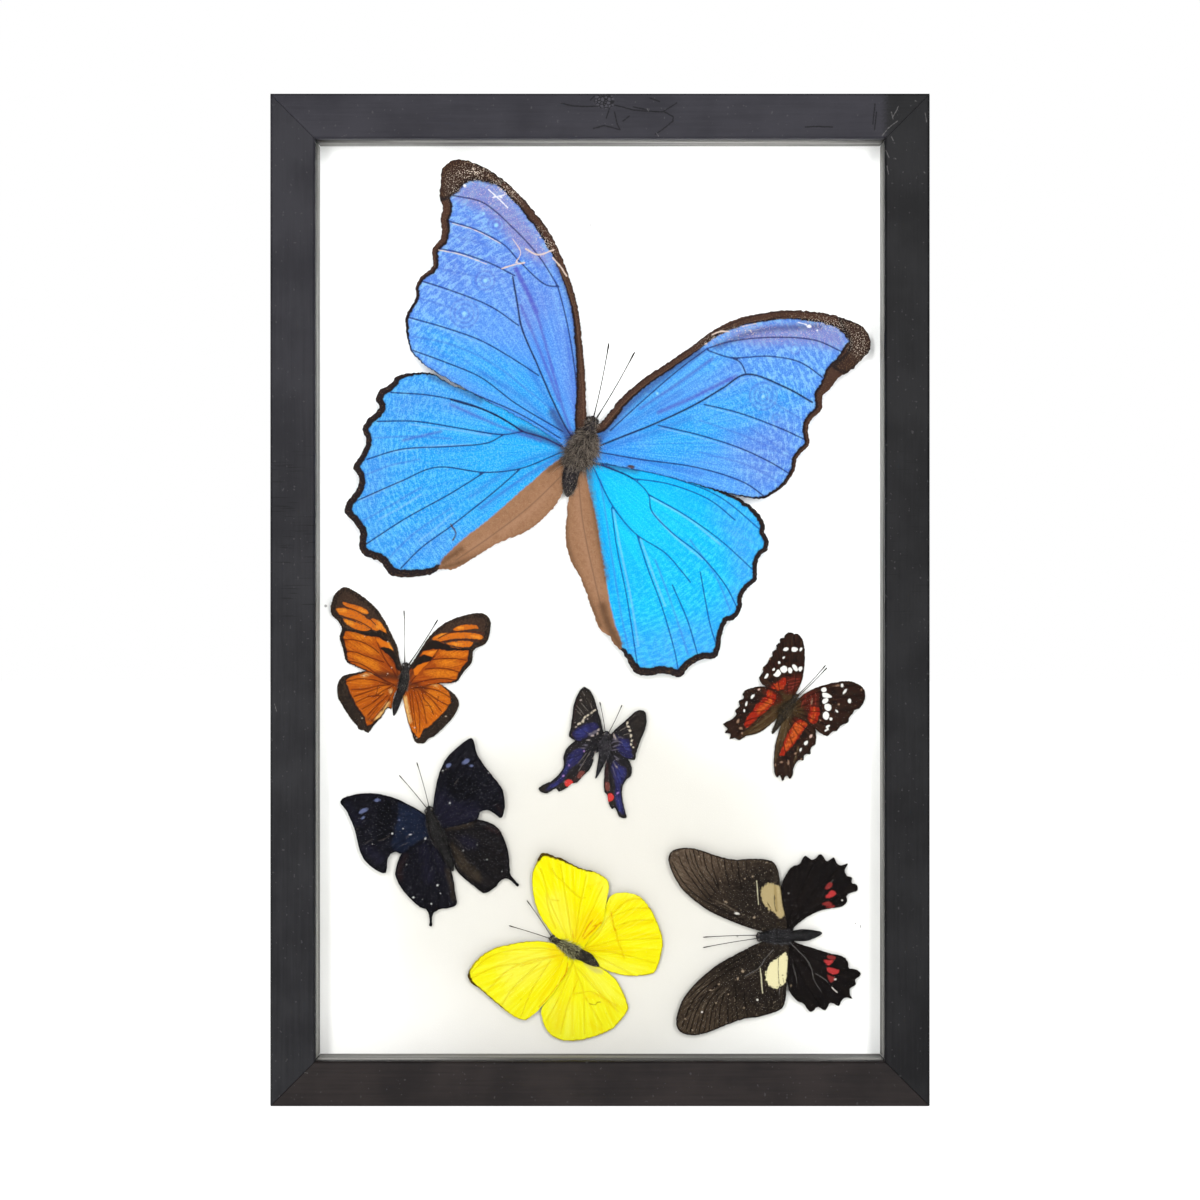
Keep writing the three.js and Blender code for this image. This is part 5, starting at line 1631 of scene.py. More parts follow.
peacock = {
    'name': 'peacock', 'slot': 'white_spotted_wing', 'height': 1.7, 'tipRise': 0.8, 'span': 26,
    'thickness': 0.12, 'cell': 0.8, 'ragged': 0.3, 'pleats': 20, 'pleatHeight': 0.02,
    'spine': [(798.5, 694.5, 1), (796.5, 698, 3), (793.5, 702, 3.2), (790, 706.5, 5.5), (786, 712, 6),
        (782, 718, 4.5), (779.5, 723, 3.2), (776.5, 728, 2.6), (774, 732, 1.9), (772.5, 735, 0.7)],
    'antennae': [[(797, 697), (826.5, 665.5)], [(797.5, 698), (828, 668)]],
    'antennaRadius': 0.15, 'waist': 0.5,
    'fur': [(0.02, 0.2, 140, 0.6, 1.0), (0.2, 0.55, 900, 1.4, 1.0), (0.5, 0.98, 260, 0.5, 0.7)],
    'hairWidth': 0.045,
    'body': {
        'trunk': ((34, 28, 22), (62, 52, 40)), 'antennae': ((40, 36, 34), (72, 66, 60)),
        'fur': ((36, 29, 21), (132, 112, 82)),
    },
    'look': {
        'roughness': 0.6, 'gloss': 0.04, 'groundFrom': (0.1, 0.8), 'ground': ((54, 34, 23), (43, 32, 25)),
        'streakAcross': 26, 'streakAlong': 3, 'relief': 0.0001, 'grainScale': 1700.0,
        'raggedScale': 1300.0,
        'layers': [
            ('clouds', (30, 22, 18), 0.2, 0, 0.45),
            ('olive', (84, 66, 38), 4, 4, 0.9),
            ('hair', (128, 110, 78), 1.2, 2.6, 0.6),
            ('rust', (96, 34, 22), 2.5, 3, 0.85),
            ('streaks', (26, 18, 14), 0.16, 0, 0.45),
            ('paleStreaks', (104, 76, 50), 0.2, 0, 0.24),
            ('red', (186, 46, 24), 0.8, 3.0, 0.95),
            ('orange', (226, 104, 40), 1.6, 3.0, 0.85),
            ('red~', (70, 20, 14), 0.8, 3.0, 0.4),
            ('grain', (60, 20, 12), 0.12, 0, 0.4),
            ('wave', (140, 52, 42), 0.5, 1.4, 0.8),
            ('vein', (24, 15, 12), 0.5, 0.8, 0.85),
            ('blot', (26, 18, 15), 0.8, 1.4, 0.9),
            ('border', (30, 22, 18), 0.8, 1.2, 0.7),
            ('tan', (168, 132, 108), 0.6, 1.4, 0.85),
            ('pink', (222, 186, 172), 0.5, 1.0, 0.95),
            ('white', (253, 251, 246), 0.35, 0.8, 1.0),
        ],
    },
    'forewing_left': {
        'outline': [794,703, 796,696, 802,683, 804.5,671, 805.5,656, 804,642, 801,636.5, 797,633.7,
            794.5,634.3, 792,632.6, 786.5,634, 784.5,637.5, 780.5,639, 780,643, 777,645, 776.5,649,
            773,652, 772.5,657, 770,658, 767.5,663.5, 763,668, 763,672, 759.5,678.5, 761,683, 766,687,
            780,694, 789,706],
        'root': (791, 706),
        'border': [794,703,0, 802,683,0.5, 805.5,656,0.8, 797,633.7,1.2, 776.5,649,1.2, 763,670,1.2,
            761,683,1, 780,694,0, 789,706,0],
        'marks': {
            'olive': [area(776,696, 786,694, 796,698, 790,706, 780,704)],
            'rust': [area(786,677, 794,675, 802,677, 799,688, 793,694, 785,693, 784,686), line(3, 770,690,
                776,692)],
            'wave': lines(1.0, [788,681, 793,679.5, 800,679.5], [789,684.5, 794,683.5, 800,682],
                [788,687.5, 793,687, 798,685], [787,692, 791,690.5, 795,687.5]),
            'red': [area(770,688, 775,684.5, 780,681, 784.5,678, 787,679.5, 786.5,684, 784,689, 780,690.5,
                776,689.5)],
            'orange': [spot(777,686, 4, 2, -30), spot(781,688, 4, 1.6, -20)],
            'vein': lines(0.8, [792,702, 796,680, 796,650, 794,637], [788,694, 787,680, 784,655, 783,642],
                [780,690, 778,680, 774,664], [776,688, 771,683, 764,676]),
            'blot': [spot(790,676, 8, 2.4), spot(796,661, 6, 3), spot(787,661, 6, 3, -30),
                spot(772,680, 7, 4, -20)],
            'white': [area(783.5,650.5, 785,648, 788,647.5, 789,650, 786,651.5), area(791.8,650,
                793,647.4, 796.4,647.6, 798.6,649.4, 797,651.6, 793.6,652), spot(801.5,649.6, 2.4, 4, 25),
                spot(784.2,658, 1.8, 3, 35), spot(779.6,663, 2.4, 2.8, -20), area(780.8,668.6, 783,666.4,
                785.6,666, 787.6,668.4, 787.6,671.2, 784.8,673.2, 782,672.4), area(788.6,669, 790.4,667.4,
                792,668.6, 793,671.4, 791.6,673.6, 789.6,673.2), area(792.8,665.4, 795,664.8, 797.4,667.2,
                798.6,670.6, 797,672, 794.6,670), area(799.4,667.6, 802.6,667, 803,669.4, 800.8,672,
                799.2,670.4), spot(774,669.8, 3, 2.2, -50), area(773.4,675, 775.6,673.8, 777,670.8,
                779.2,670, 781.2,673, 780,676, 776.8,677.2), area(764.6,678.6, 765.8,676, 768,673.4,
                768.8,674.4, 767,678.8)],
            'tan': [spot(763.6,669, 1, 2), spot(770,659, 1, 2)],
        },
    },
    'forewing_right': {
        'outline': [791,705, 798,700, 807,693, 816,688.5, 835,683, 850,681.5, 858,684, 864,688.5, 866,694,
            864.5,703, 860,709, 855,711, 853,715, 850,718, 848.5,723, 842,726, 837,731.5, 832.5,733,
            828,736.7, 822,734.5, 812,726.5, 800,719, 787,712],
        'root': (792, 707),
        'border': [791,705,0, 816,688.5,0.6, 850,681.5,1.2, 866,694,1.2, 853,715,1.2, 837,731.5,1.2,
            828,736.7,1, 812,726.5,0, 787,712,0],
        'marks': {
            'olive': [area(792,706, 800,700, 804,706, 802,716, 794,716)],
            'rust': [area(804,694, 814,691, 819,694, 819,706, 812,714, 804,708)],
            'wave': lines(1.0, [806,702, 806,697, 807,694], [811,706, 811.5,700, 812,696], [816,705,
                816.5,699, 816,694], [802,708, 804,701]),
            'red': [area(808.6,719, 810,713, 812,708, 817,707.6, 820,710, 819.4,717, 816.8,724, 813,724,
                810,722.6)],
            'orange': [spot(813.6,718, 3, 7, 15), spot(815,711, 3, 4)],
            'tan': [spot(812.4,702, 1.6, 5), spot(862,690, 1.6, 2), spot(856,706, 1.8, 1.2),
                spot(838,686, 6, 1.6, -8), spot(839.6,704.8, 2), spot(821,721, 2, 1.4)],
            'vein': lines(0.8, [794,707, 815,694, 840,687, 856,686], [795,709, 818,702, 840,698, 862,696],
                [796,711, 818,712, 840,712, 856,710], [796,713, 814,720, 832,728]),
            'blot': [spot(821.6,703, 3, 20, 0), spot(834,692, 5, 5), spot(835,703, 5, 4)],
            'white': [area(821.6,690.6, 823.4,688.2, 826,688, 827.4,691, 825.6,692.4, 822.6,692),
                area(822.8,694, 826,693.4, 829.6,694.4, 833,697.8, 829,698.2, 824,697.6), area(822.8,702,
                824,699.8, 828,699, 829.2,701.2, 827,703.6, 823.6,704), area(825,706, 827.4,704.4,
                830.6,705, 832,708, 830.6,711, 827.6,711.4, 825.6,709), area(823.6,716, 825,712.6,
                827.8,712.2, 829.8,715, 829,719, 826.6,720.6, 824.4,719), spot(831.6,719.6, 3, 3),
                line(1.8, 826,731.4, 828.6,730, 827.4,727.6, 829.6,726.4), spot(842.8,685.8, 2.6, 3.6),
                spot(845.6,692, 2.4, 6.4, 35), spot(850.4,701.4, 3.2, 4.6),
                spot(837.4,711.6, 1.8, 3.8, -40)],
        },
    },
    'hindwing_left': {
        'outline': [790,705, 778,692, 767,687.5, 754,688, 745,691.5, 743,694.5, 744,698.5, 739,702,
            740,706.5, 735.5,711, 736.5,715, 732,720, 723.5,725, 727.5,729.5, 725,733.5, 731,735, 730,740,
            735,739, 739.5,741, 747,737, 760,733.5, 775,722, 784,714],
        'root': (788, 710),
        'border': [790,705,0, 767,687.5,0.6, 745,691.5,1.4, 739,702,1.4, 732,720,1.4, 725,733.5,1.4,
            739.5,741,1.2, 760,733.5,0.6, 784,714,0],
        'marks': {
            'olive': [area(774,700, 786,704, 786,714, 774,722, 760,732, 744,736, 750,728, 762,718,
                772,708)],
            'hair': lines(1.0, [784,712, 774,721, 762,729, 750,734], [780,708, 768,718,
                756,727]) + [spot(768,717, 2.4, 1.4, -40)],
            'rust': [area(764,690, 778,694, 782,702, 774,706, 768,700)],
            'red': [area(768,691, 772,692, 776.4,697, 775,703, 769,709, 763,714.6, 757,719, 752,725,
                747,728.4, 744.6,726, 747.6,719, 752,713, 757,706, 763,699.6, 767,696)],
            'orange': [area(770.6,691.6, 772.2,693, 770.6,696, 769.4,694), area(771,699, 773,702, 766,709,
                759,714, 757,712, 764,705)],
            'vein': lines(0.8, [778,702, 768,698, 750,694], [774,706, 765,703, 744,700], [770,711,
                758,712, 738,714], [764,718, 754,719, 738,726], [756,726, 748,726, 738,734]),
            'blot': [spot(754,702, 6, 5, -30), spot(747,711, 5, 4), spot(741,718, 4, 3)],
            'white': [spot(753,697, 2.8, 5.4, 38), spot(746.8,704.4, 2.2, 5, 15),
                spot(744.6,711.4, 1.8, 2.8)],
            'pink': [spot(759.6,690, 2.6, 1.6, -30)],
            'tan': [spot(738.6,722, 2.2, 4, 20), spot(741,729, 3, 2.4, 20), spot(742.4,734, 2, 2.4)],
        },
    },
    'hindwing_right': {
        'outline': [787,711, 804,720, 815.5,728, 817,740, 816,745.5, 812,748.5, 811,755, 806,755.5,
            804,761, 799,761.5, 794,770, 793,777, 790.5,779.8, 787,777, 783,782.2, 780.5,776.5,
            777.5,778.5, 775,773, 774.5,757, 776.5,743, 781,727, 783,716],
        'root': (788, 712),
        'border': [787,711,0, 804,720,0, 815.5,728,1, 816,745.5,1.4, 806,755.5,1.4, 794,770,1.4,
            787,777,1.4, 777.5,778.5,1.2, 774.5,757,0.6, 783,716,0],
        'marks': {
            'olive': [area(782,714, 792,716, 792,726, 787,738, 780,754, 775,762, 776,744, 780,728)],
            'hair': lines(1.1, [784,718, 781,734, 778,748, 776,760], [789,716, 787,728, 783,742],
                [785,716, 783,730]) + lines(1.2, [799,748, 797,756, 795,764]),
            'rust': [area(796,718, 806,722, 806,728, 794,724)],
            'red': [area(797,722.4, 801,720.6, 806,723, 807.4,726, 804,731, 800,738, 794,746, 788,752,
                783.6,756.6, 780.4,756, 783,748, 786,740, 790,732, 794,726)],
            'orange': [area(797,724, 803,724.4, 803,729, 799,736, 793,744, 787,751, 785,750, 788,742,
                792,733), spot(806,724.6, 2.6, 2)],
            'vein': lines(0.8, [792,719, 803,727, 814,736], [790,722, 799,736, 810,748], [788,730,
                793,744, 800,758], [784,744, 787,756, 790,774]),
            'blot': [spot(805,736, 6, 6), spot(799,743, 5, 5), spot(787,759, 8, 4), spot(792,753, 4, 4)],
            'white': [area(804.6,744.8, 806,742.2, 808.4,741.4, 808.6,743.8, 806,746.4),
                spot(801.4,750.8, 2, 4, 25)],
            'pink': [spot(811.8,737, 2.4, 3.8, 35)],
            'tan': [spot(796,754.6, 2.6, 2, -40), spot(782,763, 3, 2), spot(789,764, 1.8, 4),
                spot(802,760, 2, 2), spot(776,766, 1, 2)],
        },
    },
}
makeSpecimen(peacock)

leafwing = {
    'name': 'leafwing', 'slot': 'black_wing', 'height': 2.2, 'tipRise': 1.0, 'span': 32,
    'thickness': 0.14, 'cell': 1.1, 'ragged': 0.25, 'pleats': 20, 'pleatHeight': 0.035,
    'spine': [(427, 806.5, 1), (427.5, 811, 4.3), (428.5, 816, 4), (430.5, 823, 6.6), (434, 833, 7.6),
        (438, 842, 6.6), (441.5, 849, 5.2), (445.5, 857, 5), (449, 865, 4), (452, 873, 1.3)],
    'antennae': [[(426, 810), (397.5, 776)], [(428, 809), (415.3, 763)]],
    'antennaRadius': 0.13, 'waist': 0.52,
    'fur': [(0.02, 0.16, 160, 0.7, 1.0), (0.14, 0.3, 420, 1.2, 1.0), (0.3, 0.6, 700, 1.0, 1.0),
        (0.5, 0.98, 260, 0.4, 0.7)],
    'hairWidth': 0.05,
    'body': {
        'trunk': ((16, 15, 16), (36, 34, 34)), 'antennae': ((40, 36, 34), (72, 66, 60)),
        'fur': ((12, 12, 13), (88, 84, 82)),
    },
    'look': {
        'roughness': 0.5, 'gloss': 0.015, 'groundFrom': (0.25, 0.95),
        'ground': ((19, 19, 26), (20, 19, 24)), 'streakAcross': 36, 'streakAlong': 3.5, 'relief': 0.00012,
        'streakRelief': 0.4, 'grainScale': 1900.0,
        'layers': [
            ('slate', (27, 38, 62), 1.4, 3.5, 0.95),
            ('plum', (34, 32, 50), 5, 4, 0.75),
            ('brown', (72, 61, 47), 3, 3, 0.85),
            ('maroon', (48, 31, 29), 2.5, 2, 0.8),
            ('black', (9, 9, 11), 4, 4, 0.9),
            ('clouds', (13, 13, 17), 0.2, 0, 0.35),
            ('streaks', (10, 10, 14), 0.16, 0, 0.42),
            ('paleStreaks', (46, 46, 58), 0.2, 0, 0.2),
            ('grain', (11, 11, 15), 0.14, 0, 0.4),
            ('paleGrain', (54, 54, 66), 0.14, 0, 0.2),
            ('flecks', (112, 110, 118), 0.05, 0, 0.24),
            ('vein', (13, 13, 16), 0.6, 0.5, 0.4),
            ('border', (15, 14, 16), 1.4, 1.5, 0.8),
            ('streak', (84, 78, 76), 0.4, 1.2, 0.5),
            ('blue', (104, 112, 150), 0.7, 1.4, 0.9),
            ('white', (216, 214, 212), 0.5, 0.5, 0.9),
        ],
    },
    'forewing_left': {
        'outline': [431,822, 421,813.5, 411,807.5, 392,798.5, 370,794, 350,796, 341,799.5, 339,803.5,
            345,812, 353,830.5, 358,850.5, 361.5,859, 369,867, 376,872, 383,874.3, 385.3,871, 386,861,
            389.5,855, 394.5,853, 399.5,855, 413,848.5, 424,843, 435,838],
        'root': (432, 830),
        'border': [431,822,0, 392,798.5,1, 350,796,1, 339,803.5,1.5, 353,830.5,1, 361,859,1.5, 383,874,2,
            386,861,1, 394,853,1, 424,843,0],
        'marks': {
            'slate': [area(397,804, 405,806, 415,812, 424,818, 430,826, 428,836, 418,842, 408,848,
                402,854, 396,853, 390.5,848, 391,839, 394,828, 397,816)],
            'black': [line(16, 386,806, 384,820, 384,834)],
            'plum': [line(7, 346,806, 356,822), line(8, 366,850, 378,860)],
            'vein': lines(0.8, [430,824, 400,808, 370,800, 346,800], [430,826, 400,816, 372,812, 348,812],
                [430,828, 404,824, 376,826, 354,830], [430,830, 408,830, 384,838, 362,852], [430,832,
                412,836, 396,846, 380,866]),
            'streak': lines(0.9, [388,837, 383,840, 377,842], [363,845, 367,842.5, 371,840], [405,838,
                410,835], [400,847, 406,844]) + [spot(356,830, 2, 1.4), spot(357.6,827, 1.4)],
            'blue': [spot(375.6,801, 6.4, 3, -6), spot(362,811.6, 9, 4, -24),
                spot(361.8,818.6, 4, 2.6, -30), spot(398,821, 2)],
            'white': [spot(391,834.6, 2), spot(424,839.8, 3, 1.6, -50), spot(401.6,829.6, 1.2),
                spot(409,835.6, 2.4, 0.8), spot(371,845, 0.9)],
        },
    },
    'forewing_right': {
        'outline': [430,820, 431.5,808, 434.5,787, 438,774.5, 443,762.5, 450,753.5, 466,740.5,
            470.5,738.8, 472.5,741, 476,754, 484,767, 501,789, 503,796, 503.8,809, 500,818.8, 491,813,
            485.5,811.3, 479.5,812.8, 477,819.5, 455,827, 434,829],
        'root': (434, 826),
        'border': [430,820,0, 434.5,787,1, 450,753.5,1, 470.5,738.8,1.5, 484,767,1, 503,796,1.5,
            500,818.8,2, 485.5,811.3,1, 477,819.5,1, 434,829,0],
        'marks': {
            'plum': [area(436,793, 444,792, 452,801, 462,804, 474,804, 478,812, 474,820, 460,825, 446,828,
                436,824, 434,806)],
            'black': [area(446,772, 460,776, 474,780, 476,796, 464,800, 452,796, 446,786)],
            'maroon': [line(3, 496,806, 501,814)],
            'vein': lines(0.8, [432,818, 438,796, 450,770, 464,750], [434,820, 446,798, 460,776, 476,758],
                [436,822, 454,804, 472,792, 490,780], [438,824, 460,814, 480,806, 500,802]),
            'blue': [spot(464.8,762.2, 8, 4, -34), spot(470.4,766.6, 4.4, 2.4, -10),
                spot(447.2,766.2, 5, 4, -40)],
            'streak': [line(0.9, 440,771, 442,774), line(0.9, 457,780, 453,786), spot(445,770, 1.6)],
            'white': [spot(448.6,804, 1.6), spot(441.6,771.4, 1.6, 1), spot(487.6,773.6, 1)],
        },
    },
    'hindwing_left': {
        'outline': [433,836, 412,846, 399.5,855.5, 394.5,869, 394,877.5, 400,890, 412.5,904, 420,909.8,
            424.5,911, 427,915, 428.1,920, 428.3,928, 430.4,928, 430.8,920, 432,915, 439,911, 448,909.7,
            455.3,906, 454.5,898, 451,876, 445,856, 439,840],
        'root': (436, 842),
        'border': [433,836,0, 399.5,855.5,1, 394,877.5,1.2, 412.5,904,1.5, 427,915,2, 429,928,2,
            439,911,2, 455,906,1.5, 451,876,1, 439,840,0],
        'marks': {
            'plum': [line(9, 422,850, 425,864, 427,880), line(4, 434,852, 440,872)],
            'maroon': [line(5, 404,858, 398,870, 399,880)],
            'brown': [line(4, 446,872, 449.5,884, 453,900)],
            'vein': lines(0.8, [434,842, 414,856, 398,874], [434,844, 418,868, 408,896], [435,846,
                426,876, 424,906], [437,848, 438,880, 438,908]),
            'white': [spot(436,887, 1.8, 2.6, 30), spot(412,899, 2), spot(430,905.5, 1.6),
                spot(405,866, 1), spot(439,895, 1), spot(421,901, 0.8)],
        },
    },
    'hindwing_right': {
        'outline': [435,826, 455,822, 476,820.5, 491,825, 498,830.5, 505,845, 507.8,857, 508.6,869,
            509.3,875, 512.5,880, 518.2,886.6, 516.8,888.2, 510.5,882.5, 505.5,880, 500,882, 494.5,888.5,
            483.5,894.7, 474,889, 461,878.5, 455,872, 448,854, 438,838],
        'root': (438, 834),
        'border': [435,826,0, 476,820.5,1, 498,830.5,1.2, 508.6,869,1.5, 517,887,2, 500,882,1.5,
            483.5,894.7,1.5, 455,872,1, 448,854,0],
        'look': {
            'ground': ((28, 26, 27), (24, 22, 23)),
            'tones': {'paleStreaks': (58, 52, 50), 'paleGrain': (58, 54, 54), 'clouds': (17, 15, 15)},
        },
        'marks': {
            'plum': [area(456,838, 466,838, 476,844, 474,850, 464,848)],
            'brown': [area(450,844, 458,852, 468,864, 478,874, 480,884, 472,882, 460,872, 454,860),
                line(3, 446,829, 458,828, 470,825)],
            'maroon': [line(3, 486,829, 498,834)],
            'vein': lines(0.8, [440,834, 466,830, 494,834], [441,836, 468,842, 500,856], [441,838,
                466,856, 494,882], [442,840, 458,862, 478,888]),
            'streak': lines(0.6, [450,836, 456,842, 462,849]),
            'white': [spot(476,846, 1), spot(486,861, 1.2), spot(462,852, 0.9), spot(501,873, 1)],
        },
    },
}
makeSpecimen(leafwing)

